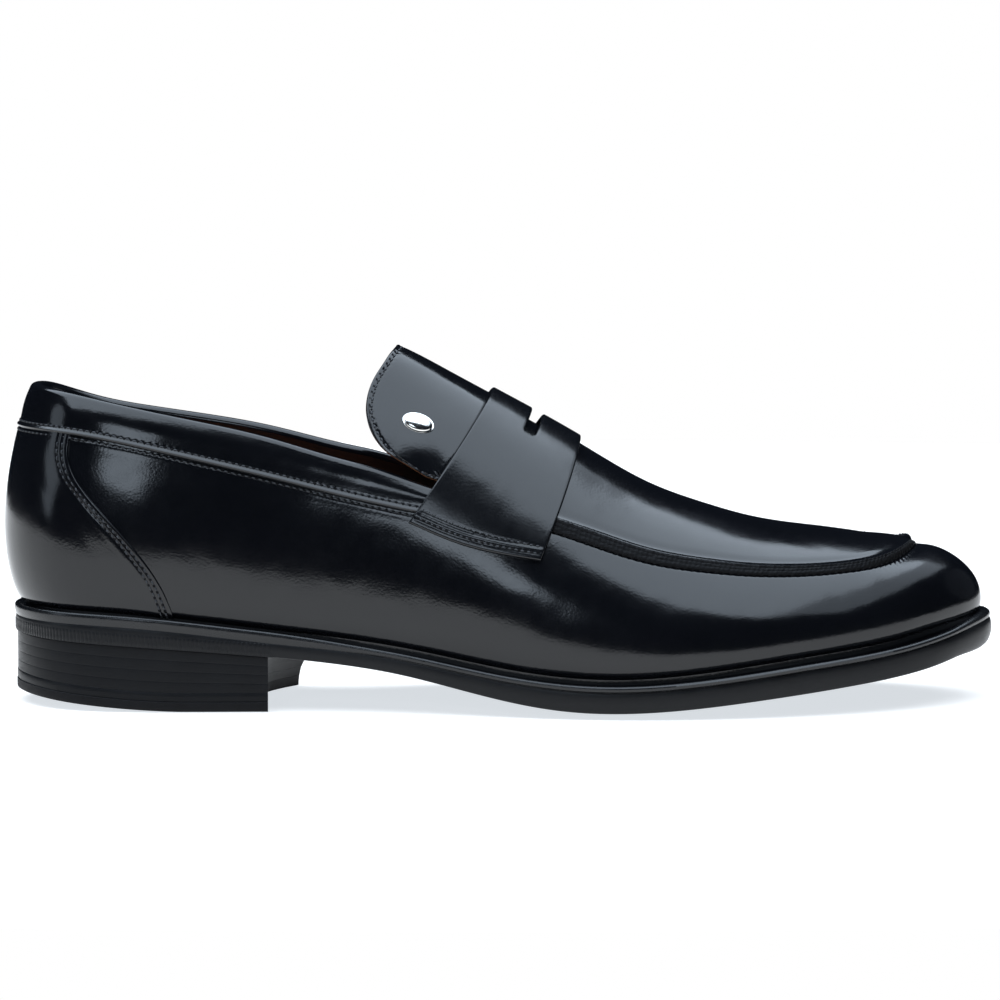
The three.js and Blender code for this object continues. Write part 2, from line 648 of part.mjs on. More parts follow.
function makeHeel() {
  const holes = NAILS.map(nailHole);
  for (let k = 1; k <= LIFTS; k++) {
    const lift = heelPlate(liftLevel(k - 1), (x) => liftLevel(k)(x) - GAP);
    add(`heel_lift_${LIFTS + 1 - k}`, cut(lift, cornerCut(), ...holes), soleLeather);
  }
  const baseBottom = (x) => heelFoot(x) + TOP_LIFT + GAP;
  const base = heelPlate(baseBottom, (x) => baseBottom(x) + TOP_LIFT_BASE);
  add('top_lift_base', cut(base, cornerCut()), soleLeather);
  add('top_lift', cut(heelPlate(heelFoot, (x) => heelFoot(x) + TOP_LIFT), cornerCut()), rubber);
}

function makeNails() {
  NAILS.forEach(([x, y], i) => {
    const top = insoleTop(x) - 0.1;
    const bottom = stackBottom(x) + 1;
    const nail = new THREE.CylinderGeometry(NAIL_RADIUS, NAIL_RADIUS * 0.7, top - bottom, 8)
      .rotateX(Math.PI / 2).translate(x, y, (top + bottom) / 2);
    add(`heel_nail_${i + 1}`, nail, steel);
  });
}

add('vamp', makeVamp(), blackLeather);
add('apron', makeApron(), blackLeather);
add('heel_foxing', makeFoxing(), blackLeather);
makeCollar();
makeStrap();
makeTongue();
makeLinings();
makeStiffeners();
makeBottom();
makeHeel();
makeNails();

export default shoe;
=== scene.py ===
"""Penny loafer: the visual model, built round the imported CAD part.

Everything is worked out in millimetres in the shoe's own frame (x from the back of the counter to
the toe, y to the inner side, z up) and moved to the row frame, in metres, at the end.

The leather lies on one surface. phi goes round the sole (0 at the heel, PI at the toe tip, the outer
side first), v climbs from the welt (0) to the crest (1) and carries on down the other side to 2.
"""

import math

import bmesh
import bpy
import numpy as np
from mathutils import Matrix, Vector


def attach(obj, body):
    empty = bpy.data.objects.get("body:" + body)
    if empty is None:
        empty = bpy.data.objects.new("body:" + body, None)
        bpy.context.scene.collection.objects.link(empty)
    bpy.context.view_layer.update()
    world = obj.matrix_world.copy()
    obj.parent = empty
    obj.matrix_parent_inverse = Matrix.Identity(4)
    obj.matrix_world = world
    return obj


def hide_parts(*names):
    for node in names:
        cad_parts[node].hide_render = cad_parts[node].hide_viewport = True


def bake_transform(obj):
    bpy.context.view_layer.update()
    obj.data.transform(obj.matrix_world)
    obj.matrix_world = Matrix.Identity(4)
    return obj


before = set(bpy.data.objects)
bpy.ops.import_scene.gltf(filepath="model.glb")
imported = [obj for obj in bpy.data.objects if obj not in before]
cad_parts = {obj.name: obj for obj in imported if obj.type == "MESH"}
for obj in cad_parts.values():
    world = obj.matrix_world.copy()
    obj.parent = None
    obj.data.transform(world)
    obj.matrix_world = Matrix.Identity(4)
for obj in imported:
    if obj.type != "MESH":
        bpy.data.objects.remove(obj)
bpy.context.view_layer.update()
PI = math.pi
TURN = 2 * PI
random = np.random.default_rng(7)

# ---------------- sizes, as in the CAD model

ORIGIN = np.array([150.8, -0.25, 0.0])
HEEL_BACK, TOE = 3.0, 300.5
MIDDLE, HALF = (HEEL_BACK + TOE) / 2, (TOE - HEEL_BACK) / 2

OUTLINE = [
    (HEEL_BACK, 0), (7, -14.8), (17.5, -26.6), (36, -32.9), (62, -34), (92, -33.6), (120, -37),
    (150, -45), (180, -50.8), (207, -51), (235, -46), (260, -36.8), (281, -24), (295, -8.5),
    (TOE, 6), (295, 20.5), (281, 32), (260, 41.4), (235, 48.4), (207, 51), (180, 48),
    (150, 39.5), (120, 31), (92, 28.8), (62, 31.4), (36, 32.4), (17.5, 26.4), (7, 14.7),
]


class Spline:
    """The natural cubic spline through (position, value) points, level beyond its ends."""

    def __init__(self, points):
        self.x, self.y = (np.array(c, float) for c in zip(*points))
        n = len(self.x)
        gaps = np.diff(self.x)
        matrix, right = np.eye(n), np.zeros(n)
        for i in range(1, n - 1):
            matrix[i, i - 1 : i + 2] = gaps[i - 1], 2 * (gaps[i - 1] + gaps[i]), gaps[i]
            right[i] = 6 * ((self.y[i + 1] - self.y[i]) / gaps[i] - (self.y[i] - self.y[i - 1]) / gaps[i - 1])
        self.bend = np.linalg.solve(matrix, right)

    def __call__(self, t):
        t = np.clip(t, self.x[0], self.x[-1])
        k = np.clip(np.searchsorted(self.x, t) - 1, 0, len(self.x) - 2)
        width = self.x[k + 1] - self.x[k]
        b = (t - self.x[k]) / width
        a = 1 - b
        curve = ((a**3 - a) * self.bend[k] + (b**3 - b) * self.bend[k + 1]) * width**2 / 6
        return a * self.y[k] + b * self.y[k + 1] + curve


welt_top = Spline([(0, 29.8), (40, 28.8), (80, 24.4), (120, 19.3), (150, 13.9), (183, 11), (212, 12.8),
                   (244, 16.8), (275, 21), (300, 27)])
sole_bottom = Spline([(0, 21.6), (40, 19.6), (80, 16.6), (105, 14), (121, 11.5), (136, 8.2), (152, 4.7),
                      (167, 2.4), (183, 1.6), (198, 2.1), (228, 5), (259, 8.6), (290, 14.2), (300, 17.4)])
crest = Spline([(24, 130), (60, 127.3), (95, 119.6), (120, 110.1), (134, 102), (147, 94.6), (174, 79.5),
                (196, 66.8), (212, 60.6), (228, 55.8), (244, 52.9), (262, 50.9)])
topline = Spline([(0, 97.4), (9, 97), (35, 92.6), (57, 88), (80, 82.8), (102, 76.4), (115, 73),
                  (128, 68.6), (150, 62)])
collar_seam = Spline([(0, 84), (19, 83.6), (43, 79.6), (65, 74.6), (87, 69.3), (102, 65.6), (115, 62.8),
                      (128, 60.4), (150, 58.4)])
low_bulge = Spline([(0, 13), (30, 9), (60, 6.5), (110, 6), (150, 8), (195, 6.5), (250, 5), (285, 4), (300, 3.6)])
low_height = Spline([(0, 0.25), (60, 0.23), (110, 0.3), (150, 0.385), (195, 0.34), (250, 0.42), (300, 0.55)])
high_reach = Spline([(0, 0.94), (60, 0.97), (100, 0.88), (125, 0.75), (150, 0.66), (195, 0.68), (250, 0.64),
                     (300, 0.61)])
high_height = Spline([(0, 0.7), (60, 0.71), (100, 0.82), (125, 0.92), (150, 0.95), (195, 0.93), (250, 0.95),
                      (300, 0.957)])
topline_dip = Spline([(0, 0), (4, 0.1), (14, 1.6), (28, 3.4), (45, 3.1), (60, 2.2), (90, 0.7), (110, 0)])
crest_sway = Spline([(0, 0), (60, 0), (120, 1.5), (170, 2.5), (230, 4), (300, 6)])
welt_width = Spline([(0, 2.2), (60, 2.4), (120, 2.8), (180, 3.6), (300, 3.6)])
apron_seam = Spline([(150, 0.5), (168, 0.525), (195, 0.555), (230, 0.57), (250, 0.58), (270, 0.62),
                     (285, 0.685), (300, 0.76)])
foxing_edge = Spline([(27, 53), (37.5, 49.4), (46, 44.2), (54, 37.5), (62, 29.8), (70, 23.2), (77, 20.8),
                      (84, 21.4)])
tongue_end = Spline([(0, 119.2), (0.04, 117.7), (0.1, 115.9), (0.2, 113.1), (0.33, 110.9), (0.52, 110.5),
                     (0.74, 113.6), (0.9, 120), (1, 128.5)])
strap_end = Spline([(0, 0.365), (0.3, 0.345), (0.7, 0.35), (1, 0.372)])
STEP = 0.004  # of phi and v, for slopes on the surface
UPPER_DROP = 3.3  # how far the leather reaches down past the welt
CREST_ROUND = 0.17  # half the width in v of the rounded crest
CREST_ROUND_END, CREST_ROUND_FADE = 222, 30
CREST_BACK, CREST_FRONT, CREST_SOFTNESS = 24, 262, 8
SEAM_BLEND = 130, 160
SOLE_CROWN = 1.6
LINING_FACE, LINING_THICKNESS = 3.7, 0.6  # LINING_FACE is the depth of the inner face
SOCK_HEIGHT, SOCK_THICKNESS = 3.6, 0.8  # SOCK_HEIGHT is over the welt
STRAP_REAR, STRAP_FRONT, STRAP_SWEEP = (147.6, 123.5), (174.3, 163), 1.9
STRAP_END_REAR = 0.365
TONGUE_SIDE, TONGUE_ROOT = 0.502, 7.0  # TONGUE_ROOT is how far it goes under the strap
STRAP_HALF = 58  # length of half the strap over the instep
SLOT_X, SLOT_WIDTH, SLOT_SIDE, SLOT_SWAY, SLOT_ROUND = 161.2, 3.3, 0.34, 2.8, 0.042
TIP_SPREAD = 0.26  # how far the toe tip reaches in phi
PITCH, STRAP_PITCH, TONGUE_PITCH, APRON_PITCH = 2.1, 1.9, 2.3, 2.35  # from stitch to stitch
RIB_PITCH, RIB_HEIGHT = 1.25, 4.3  # of the wheeled heel seat
FOXING_TOP, ROW_END = 26, 127  # stations where the low collar row leaves the foxing, and ends
COLLAR_ROW = 1.5  # the row in the leather under the collar seam
FOXING_ROWS, STRAP_ROWS, TONGUE_ROW = (1.85, 3.55), (1.9, 4.1), 1.7  # distances from the edge
NEAR_EDGE = (0.05, 0.12, 0.22, 0.36, 0.6)  # distances of the close rows beside a rounded edge
UNDER_WELT = (-1, -0.6, -0.25)  # v of the rows that go down behind the welt

# ---------------- the surface


def smooth(t):
    t = np.clip(t, 0, 1)
    return t * t * (3 - 2 * t)


def mix(a, b, t):
    return a + (b - a) * t


def station(phi):
    return MIDDLE - HALF * np.cos(phi)


def phi_of(x):
    return np.arccos(np.clip((MIDDLE - x) / HALF, -1, 1))


_outline = [(phi_of(x) if i <= len(OUTLINE) / 2 else TURN - phi_of(x), y) for i, (x, y) in enumerate(OUTLINE)]
outline_y = Spline([(p + shift, y) for shift in (-TURN, 0, TURN) for p, y in _outline])


def plan(phi, inwards=0.0):
    """x and y of the sole's edge, moved inwards."""
    slope = (outline_y(phi + 1e-3) - outline_y(phi - 1e-3)) / 2e-3
    along = HALF * np.sin(phi)
    length = np.hypot(along, slope)
    return station(phi) - slope / length * inwards, outline_y(phi) + along / length * inwards


def crest_station(x):
    above = CREST_BACK + CREST_SOFTNESS * np.logaddexp(0, (x - CREST_BACK) / CREST_SOFTNESS)
    return CREST_FRONT - CREST_SOFTNESS * np.logaddexp(0, (CREST_FRONT - above) / CREST_SOFTNESS)


def surface(phi, v):
    """Points in millimetres; a Hermite curve rounds the crest over, and fades out over the toes."""
    phi, v = (np.array(a, float) for a in np.broadcast_arrays(phi, v))
    points = flank(phi, v)
    near = np.abs(v - 1) < CREST_ROUND
    if near.any():
        f, t = phi[near], ((v[near] - 1) / CREST_ROUND + 1)[:, None] / 2
        step = 1e-3
        a, b = flank(f, 1 - CREST_ROUND), flank(f, 1 + CREST_ROUND)
        da = (a - flank(f, 1 - CREST_ROUND - step)) / step * 2 * CREST_ROUND
        db = (flank(f, 1 + CREST_ROUND + step) - b) / step * 2 * CREST_ROUND
        over = (2 * t**3 - 3 * t**2 + 1) * a + (t**3 - 2 * t**2 + t) * da
        over = over + (3 * t**2 - 2 * t**3) * b + (t**3 - t**2) * db
        sharp = smooth((station(f) - CREST_ROUND_END) / CREST_ROUND_FADE)[:, None]
        points[near] = mix(over, points[near], sharp)
    return points


def flank(phi, v):
    phi, v = np.broadcast_arrays(np.asarray(phi, float), np.asarray(v, float))
    over = v > 1
    phi = np.where(over, TURN - phi, phi)
    v = np.where(over, 2 - v, v)
    x = station(phi)
    width = welt_width(x)
    fx, fy = plan(phi, width)
    bx, by = plan(phi, width - low_bulge(x))
    low = welt_top(x)
    tx = crest_station(x)
    ty, high = crest_sway(tx), crest(tx)
    reach = high_reach(x)
    t = np.clip(v, 0, 1)
    a, b, c, d = (1 - t) ** 3, 3 * (1 - t) ** 2 * t, 3 * (1 - t) * t**2, t**3
    px = a * fx + b * bx + c * mix(tx, fx, reach) + d * tx
    py = a * fy + b * by + c * mix(ty, fy, reach) + d * ty
    pz = a * low + b * mix(low, high, low_height(x)) + c * mix(low, high, high_height(x)) + d * high
    return np.stack([px, py, pz + np.minimum(v, 0) * UPPER_DROP], -1)


def unit(a):
    return a / np.maximum(np.linalg.norm(a, axis=-1, keepdims=True), 1e-12)


def normal(phi, v):
    phi, v = np.broadcast_arrays(np.asarray(phi, float), np.asarray(v, float))
    at = np.maximum(v, 0.01)
    round_ = surface(phi + STEP, at) - surface(phi - STEP, at)
    n = np.cross(round_, surface(phi, at + STEP) - surface(phi, at - STEP))
    flat = n * np.array([1, 1, 0])
    return unit(np.where((v < 0)[..., None], flat, n))


def point(phi, v, height=0.0):
    return surface(phi, v) + normal(phi, v) * np.asarray(height, float)[..., None]


def rise(phi, v):
    """Millimetres of surface for one unit of v."""
    return np.linalg.norm(surface(phi, v + STEP) - surface(phi, v - STEP), axis=-1) / (2 * STEP)


def climb_to(phi, height):
    phi = np.asarray(phi, float)
    low, high = np.zeros_like(phi), np.full_like(phi, 0.95)
    for _ in range(24):
        middle = (low + high) / 2
        p = surface(phi, middle)
        under = p[..., 2] < height(p[..., 0])
        low, high = np.where(under, middle, low), np.where(under, high, middle)
    return low


def inner_dip(phi):
    inner = np.mod(phi, TURN) > PI
    return np.where(inner, topline_dip(station(phi)), 0)


def below_topline(phi, depth):
    dip = inner_dip(phi)
    return climb_to(phi, lambda x: topline(x) - dip - depth)


def seam_v(phi):
    x = station(phi)
    share = smooth((x - SEAM_BLEND[0]) / (SEAM_BLEND[1] - SEAM_BLEND[0]))
    return mix(climb_to(phi, collar_seam), apron_seam(np.maximum(x, SEAM_BLEND[1])), share)


def below_seam(phi, distance):
    """v at a distance in mm below the seam."""
    return seam_v(phi) - distance / rise(phi, seam_v(phi))


def foxing_phi(v):
    phi = np.full_like(np.asarray(v, float), phi_of(40))
    for _ in range(8):
        phi = phi_of(foxing_edge(surface(phi, v)[..., 2]))
    return phi


def strap_edge(edge, side):
    return mix(edge[0], edge[1], np.abs(side) ** STRAP_SWEEP)

# ---------------- mesh code


def link(obj):
    bpy.context.scene.collection.objects.link(obj)


def build(name, points, faces, material, body="shoe", replaces=(), slot="upper_leather", sharp=35, merge=2e-6):
    """An object from points in millimetres."""
    points = (np.asarray(points, float).reshape(-1, 3) - ORIGIN) / 1000
    mesh = bpy.data.meshes.new(name)
    mesh.from_pydata(points.tolist(), [], faces)
    if merge:
        bm = bmesh.new()
        bm.from_mesh(mesh)
        bmesh.ops.remove_doubles(bm, verts=bm.verts, dist=merge)
        bmesh.ops.dissolve_degenerate(bm, dist=1e-7, edges=bm.edges)
        bmesh.ops.recalc_face_normals(bm, faces=bm.faces)
        bm.to_mesh(mesh)
        bm.free()
    mesh.shade_smooth()
    mesh.set_sharp_from_angle(angle=math.radians(sharp))
    mesh.materials.append(material)
    obj = bpy.data.objects.new(name, mesh)
    link(obj)
    if body:
        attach(obj, body)
    if replaces:
        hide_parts(*replaces)
    return obj


def slab(name, top, bottom, material, keep=None, **options):
    """A closed piece between two grids of points, of the cells that keep marks."""
    n, m = top.shape[:2]
    cells = np.ones((n - 1, m - 1), bool) if keep is None else keep
    index = np.arange(n * m).reshape(n, m)
    low = index + n * m
    i, j = np.nonzero(cells)
    faces = np.stack([index[i, j], index[i + 1, j], index[i + 1, j + 1], index[i, j + 1]], 1).tolist()
    faces += np.stack([low[i, j], low[i, j + 1], low[i + 1, j + 1], low[i + 1, j]], 1).tolist()
    padded = np.pad(cells, 1)
    for i, j in zip(*np.nonzero(cells)):
        for open_side, a, b in (
            (not padded[i, j + 1], (i, j + 1), (i, j)),
            (not padded[i + 2, j + 1], (i + 1, j), (i + 1, j + 1)),
            (not padded[i + 1, j], (i, j), (i + 1, j)),
            (not padded[i + 1, j + 2], (i + 1, j + 1), (i, j + 1)),
        ):
            if open_side:
                faces.append([int(index[a]), int(low[a]), int(low[b]), int(index[b])])
    return build(name, np.concatenate([top.reshape(-1, 3), bottom.reshape(-1, 3)]), faces, material, **options)


def shell(name, phi, v, top, bottom, material, **options):
    """A piece between two heights over the surface."""
    return slab(name, point(phi, v, top), point(phi, v, bottom), material, **options)


def ring_faces(n, m):
    """Faces between n rings of m points each."""
    return [[i * m + j, i * m + (j + 1) % m, (i + 1) * m + (j + 1) % m, (i + 1) * m + j]
            for i in range(n - 1) for j in range(m)]


def sweep(name, rings, material, closed=False, **options):
    """A tube through rings of points; an open one is capped."""
    n, m = rings.shape[:2]
    index = np.arange(n * m).reshape(n, m)
    faces = []
    for i in range(n if closed else n - 1):
        a, b = index[i], index[(i + 1) % n]
        faces += np.stack([a, b, np.roll(b, -1), np.roll(a, -1)], 1).tolist()
    if not closed:
        faces += [index[0].tolist(), index[-1][::-1].tolist()]
    return build(name, rings.reshape(-1, 3), faces, material, **options)


def spread(n, length, first=True):
    """Shares 0 to 1 with extra samples near the ends, for a side of that length in mm."""
    inner = np.linspace(0, 1, n)
    extra = np.array(NEAR_EDGE) / length
    clear = extra[-1] * 1.5
    inner = inner[(inner == 0) | (inner == 1) | ((inner > clear) & (inner < 1 - clear))]
    return np.unique(np.concatenate([inner, 1 - extra, extra if first else []]))


def rounded(edge, radius=0.35):
    """How far a surface drops at this distance from its rounded edge."""
    e = np.clip(edge, 0, radius)
    return radius - np.sqrt(np.maximum(radius**2 - (radius - e) ** 2, 0))


def lengths(points, axis):
    """Distance along each grid line from its start."""
    gaps = np.linalg.norm(np.diff(points, axis=axis), axis=-1)
    return np.insert(np.cumsum(gaps, axis=axis), 0, 0, axis=axis)


def from_ends(points, axis):
    """Distance along each grid line from the nearer of its ends."""
    along = lengths(points, axis)
    return np.minimum(along, np.take(along, [-1], axis) - along)


def gauss(x, width):
    return np.exp(-((x / width) ** 2))


def seam_row(name, path, out, pitch, length=0.62, radius=0.25, lift=0.1, **options):
    """A sewn row: the stitches and the needle holes between them."""
    holes = stitches(name + "_holes", path, out, pitch, HOLE, 0.42, 0.4, lift - 0.16, shift=0.0, **options)
    return stitches(name, path, out, pitch, THREAD, length, radius, lift, **options), holes


def surface_row(name, phi, v, depth, pitch=PITCH, facing=1, **options):
    """A sewn row along a line on the surface."""
    return seam_row(name, point(phi, v, depth), normal(phi, v) * facing, pitch, **options)


def stitches(name, path, out, pitch, material, length, radius, lift, slant=0.0, shift=0.5, **options):
    """Separate stitches along a path of points with its outward normals."""
    along = np.insert(np.cumsum(np.linalg.norm(np.diff(path, axis=0), axis=1)), 0, 0)
    count = max(1, int(along[-1] / pitch))
    at = (np.arange(count) + shift) * along[-1] / count
    place = lambda s: np.stack([np.interp(s, along, path[:, k]) for k in range(3)], 1)
    centre = place(at)
    tangent = unit(place(at + pitch / 3) - place(at - pitch / 3))
    up = unit(np.stack([np.interp(at, along, out[:, k]) for k in range(3)], 1))
    side = unit(np.cross(up, tangent))
    tangent = unit(tangent + side * slant)
    side = unit(np.cross(up, tangent))
    half = pitch * length / 2
    sides = 8
    # (place along it, size, height), in shares of its half length and its radius
    rings = [(-1.0, 0.25, -1.0), (-0.86, 0.8, -0.45), (-0.45, 1, 0.0), (0, 1.05, 0.12), (0.45, 1, 0.0),
             (0.86, 0.8, -0.45), (1.0, 0.25, -1.0)]
    jitter = 1 + 0.06 * random.standard_normal((count, 3))
    points = []
    for share, size, sink in rings:
        middle = centre + tangent * (share * half * jitter[:, :1])
        middle = middle + up * (lift + sink * radius * jitter[:, 1:2])
        for angle in np.arange(sides) * TURN / sides:
            r = radius * size * jitter[:, 2:3]
            points.append(middle + side * (r * math.cos(angle)) + up * (r * 0.85 * math.sin(angle)))
    points = np.stack(points, 1)
    per = sides * len(rings)
    base = ring_faces(len(rings), sides)
    base.append(list(range(sides))[::-1])
    base.append([per - sides + j for j in range(sides)])
    faces = [[f + c * per for f in face] for c in range(count) for face in base]
    return build(name, points, faces, material, sharp=60, merge=0, **options)

# ---------------- materials


class Nodes:
    """A material's node tree, with short ways to add nodes."""

    def __init__(self, name):
        self.material = bpy.data.materials.new(name)
        self.material.use_nodes = True
        self.tree = self.material.node_tree
        self.shader = self.tree.nodes["Principled BSDF"]
        self.coordinates = self.add("ShaderNodeTexCoord").outputs["Object"]

    def add(self, kind, inputs=None, **settings):
        node = self.tree.nodes.new(kind)
        for key, value in settings.items():
            setattr(node, key, value)
        for key, value in (inputs or {}).items():
            if isinstance(value, bpy.types.NodeSocket):
                self.tree.links.new(value, node.inputs[key])
            else:
                node.inputs[key].default_value = value
        return node

    def set(self, **values):
        for key, value in values.items():
            socket = self.shader.inputs[key.replace("_", " ")]
            if isinstance(value, bpy.types.NodeSocket):
                self.tree.links.new(value, socket)
            else:
                socket.default_value = value

    def noise(self, scale, detail=3.0, roughness=0.5, vector=None):
        inputs = {"Scale": scale, "Detail": detail, "Roughness": roughness, "Vector": vector or self.coordinates}
        return self.add("ShaderNodeTexNoise", inputs).outputs["Fac"]

    def cells(self, scale, feature="F1"):
        inputs = {"Scale": scale, "Vector": self.coordinates}
        return self.add("ShaderNodeTexVoronoi", inputs, feature=feature).outputs["Distance"]

    def stretched(self, x, y, z):
        return self.add("ShaderNodeMapping", {"Vector": self.coordinates, "Scale": (x, y, z)}).outputs["Vector"]

    def ramp(self, value, low, high, to_low=0.0, to_high=1.0):
        inputs = {"Value": value, "From Min": low, "From Max": high, "To Min": to_low, "To Max": to_high}
        return self.add("ShaderNodeMapRange", inputs).outputs["Result"]

    def maths(self, operation, a, b):
        return self.add("ShaderNodeMath", {0: a, 1: b}, operation=operation).outputs[0]

    def colour(self, value, low, high):
        node = self.add("ShaderNodeMix", {"Factor": value}, data_type="RGBA")
        node.inputs[6].default_value = (*low, 1)
        node.inputs[7].default_value = (*high, 1)
        return node.outputs[2]

    def bump(self, height, distance, strength=1.0, under=None):
        inputs = {"Height": height, "Distance": distance, "Strength": strength}
        if under:
            inputs["Normal"] = under
        return self.add("ShaderNodeBump", inputs).outputs["Normal"]


def calf_leather(name, roughness):
    """Black box calf, polished: fine grain, a soft wave under it, a wax coat on top."""
    n = Nodes(name)
    pores = n.cells(1500.0, feature="SMOOTH_F1")
    fine = n.noise(2600.0, 2.0)
    wave = n.noise(42.0, 2.0, 0.35)
    patches = n.noise(28.0, 4.0, 0.6)
    colour = n.colour(patches, (0.0018, 0.002, 0.0028), (0.0038, 0.0043, 0.0058))
    normals = n.bump(wave, 0.0013, 0.6)
    normals = n.bump(pores, 0.00004, 0.4, normals)
    normals = n.bump(fine, 0.000015, 0.4, normals)
    rough = n.ramp(n.maths("ADD", n.noise(240.0, 3.0), patches), 0.6, 1.4, roughness - 0.03, roughness + 0.05)
    n.set(Base_Color=colour, Roughness=rough, Normal=normals, Specular_IOR_Level=0.38, Coat_Weight=0.1,
          Coat_Roughness=0.08)
    return n.material


def raw_edge(name):
    """Cut and inked leather edges, and the roughened leather in the apron seam."""
    n = Nodes(name)
    fibre = n.noise(1800.0, 4.0, 0.7)
    lines = n.noise(700.0, 3.0, 0.6, n.stretched(0.25, 0.25, 2.0))
    colour = n.colour(fibre, (0.0015, 0.0015, 0.002), (0.007, 0.0073, 0.0085))
    normals = n.bump(lines, 0.0004, 1.0)
    normals = n.bump(fibre, 0.00012, 0.8, normals)
    n.set(Base_Color=colour, Roughness=n.ramp(fibre, 0.3, 0.7, 0.5, 0.7), Normal=normals,
          Specular_IOR_Level=0.12)
    return n.material


def thread(name):
    """Waxed black thread with its twist."""
    n = Nodes(name)
    twist = n.noise(3200.0, 2.0, 0.5, n.stretched(1.0, 1.0, 0.5))
    n.set(Base_Color=n.colour(twist, (0.0156, 0.0168, 0.0198), (0.039, 0.042, 0.0495)),
          Roughness=n.ramp(twist, 0.3, 0.7, 0.32, 0.5), Normal=n.bump(twist, 0.00008, 0.7),
          Specular_IOR_Level=0.4)
    return n.material


def lining_leather(name, dark, light, roughness=0.55):
    """Unfinished lining leather with grain and handling marks."""
    n = Nodes(name)
    marks = n.noise(45.0, 5.0, 0.65)
    grain = n.cells(1300.0, feature="SMOOTH_F1")
    fine = n.noise(2200.0, 3.0)
    normals = n.bump(marks, 0.0004, 0.4)
    normals = n.bump(n.maths("ADD", grain, fine), 0.00007, 0.7, normals)
    n.set(Base_Color=n.colour(n.ramp(marks, 0.3, 0.7), dark, light),
          Roughness=n.ramp(fine, 0.3, 0.7, roughness - 0.08, roughness + 0.1), Normal=normals)
    return n.material


def woven(name, dark, light):
    """Cotton drill: two crossed bands of thread."""
    n = Nodes(name)
    bands = {"Vector": n.coordinates, "Scale": 420.0, "Distortion": 0.6}
    warp = n.add("ShaderNodeTexWave", bands, bands_direction="DIAGONAL").outputs["Fac"]
    weft = n.add("ShaderNodeTexWave", bands, bands_direction="Y").outputs["Fac"]
    weave = n.maths("MULTIPLY", warp, weft)
    n.set(Base_Color=n.colour(weave, dark, light), Roughness=n.ramp(weave, 0, 1, 0.75, 0.95),
          Normal=n.bump(weave, 0.0001, 0.7), Sheen_Weight=0.2)
    return n.material


def waxed_sole(name, roughness, shine, layers=0.0):
    """Black edge dressing over sole leather, with faint layer lines where asked."""
    n = Nodes(name)
    scuffs = n.noise(90.0, 5.0, 0.7)
    fibre = n.noise(900.0, 4.0, 0.6, n.stretched(0.3, 0.3, 3.0))
    normals = n.bump(scuffs, 0.0002, 0.2)
    normals = n.bump(fibre, 0.00005 + layers * 0.00003, 0.35, normals)
    n.set(Base_Color=n.colour(scuffs, (0.0035, 0.0038, 0.0045), (0.009, 0.0095, 0.011)), Normal=normals,
          Roughness=n.ramp(n.maths("ADD", scuffs, fibre), 0.7, 1.3, roughness - 0.06, roughness + 0.1),
          Specular_IOR_Level=shine)
    return n.material


def rubber(name):
    n = Nodes(name)
    dust = n.noise(120.0, 6.0, 0.7)
    grit = n.noise(2500.0, 2.0)
    n.set(Base_Color=n.colour(n.ramp(dust, 0.35, 0.75), (0.004, 0.004, 0.0048), (0.009, 0.009, 0.0105)),
          Roughness=n.ramp(dust, 0.3, 0.7, 0.5, 0.68), Normal=n.bump(grit, 0.00008, 0.6),
          Specular_IOR_Level=0.15)
    return n.material


def metal(name, colour, roughness, brush=0.0):
    n = Nodes(name)
    haze = n.noise(150.0, 4.0)
    lines = n.noise(900.0, 3.0, 0.5, n.stretched(0.1, 1.0, 1.0))
    n.set(Base_Color=n.colour(haze, tuple(c * 0.92 for c in colour), colour), Metallic=1.0,
          Roughness=n.ramp(haze, 0.3, 0.7, roughness * 0.8, roughness * 1.3),
          Normal=n.bump(lines, 0.00004 * (1 + brush), 0.2 + 0.4 * brush))
    return n.material


def granular(name, dark, light, scale, roughness=0.9):
    n = Nodes(name)
    grains = n.cells(scale)
    fine = n.noise(scale * 3, 4.0, 0.7)
    speckle = n.maths("ADD", n.maths("MULTIPLY", grains, 0.6), n.maths("MULTIPLY", fine, 0.5))
    n.set(Base_Color=n.colour(speckle, dark, light),
          Roughness=n.ramp(fine, 0.3, 0.7, roughness - 0.1, roughness), Normal=n.bump(grains, 0.0003, 0.8))
    return n.material


CALF = calf_leather("calf_black", 0.135)
CALF_STRAP = calf_leather("calf_black_strap", 0.19)
EDGE = raw_edge("leather_edge_black")
THREAD = thread("thread_black")
HOLE = raw_edge("needle_hole")
TAN = lining_leather("lining_tan", (0.44, 0.19, 0.085), (0.64, 0.32, 0.155))
BLACK_LINING = lining_leather("lining_black", (0.004, 0.004, 0.005), (0.01, 0.01, 0.011), 0.45)
TEXTILE = woven("drill_lining", (0.28, 0.2, 0.13), (0.5, 0.4, 0.29))
WELT = waxed_sole("welt_black", 0.22, 0.42)
SOLE = waxed_sole("sole_edge_black", 0.34, 0.2)
STACK = waxed_sole("heel_stack_black", 0.36, 0.13, layers=1.0)
RUBBER = rubber("top_lift_rubber")
NICKEL = metal("nickel_polished", (0.78, 0.77, 0.74), 0.14)
STEEL = metal("steel_plain", (0.5, 0.5, 0.52), 0.35, 1.0)
CORK = granular("cork_ground", (0.22, 0.12, 0.05), (0.55, 0.36, 0.2), 900.0)
BOARD = granular("insole_leather_board", (0.2, 0.13, 0.08), (0.4, 0.29, 0.18), 1500.0, 0.8)
STIFF = granular("stiffener_board", (0.55, 0.5, 0.42), (0.72, 0.68, 0.6), 1800.0, 0.75)

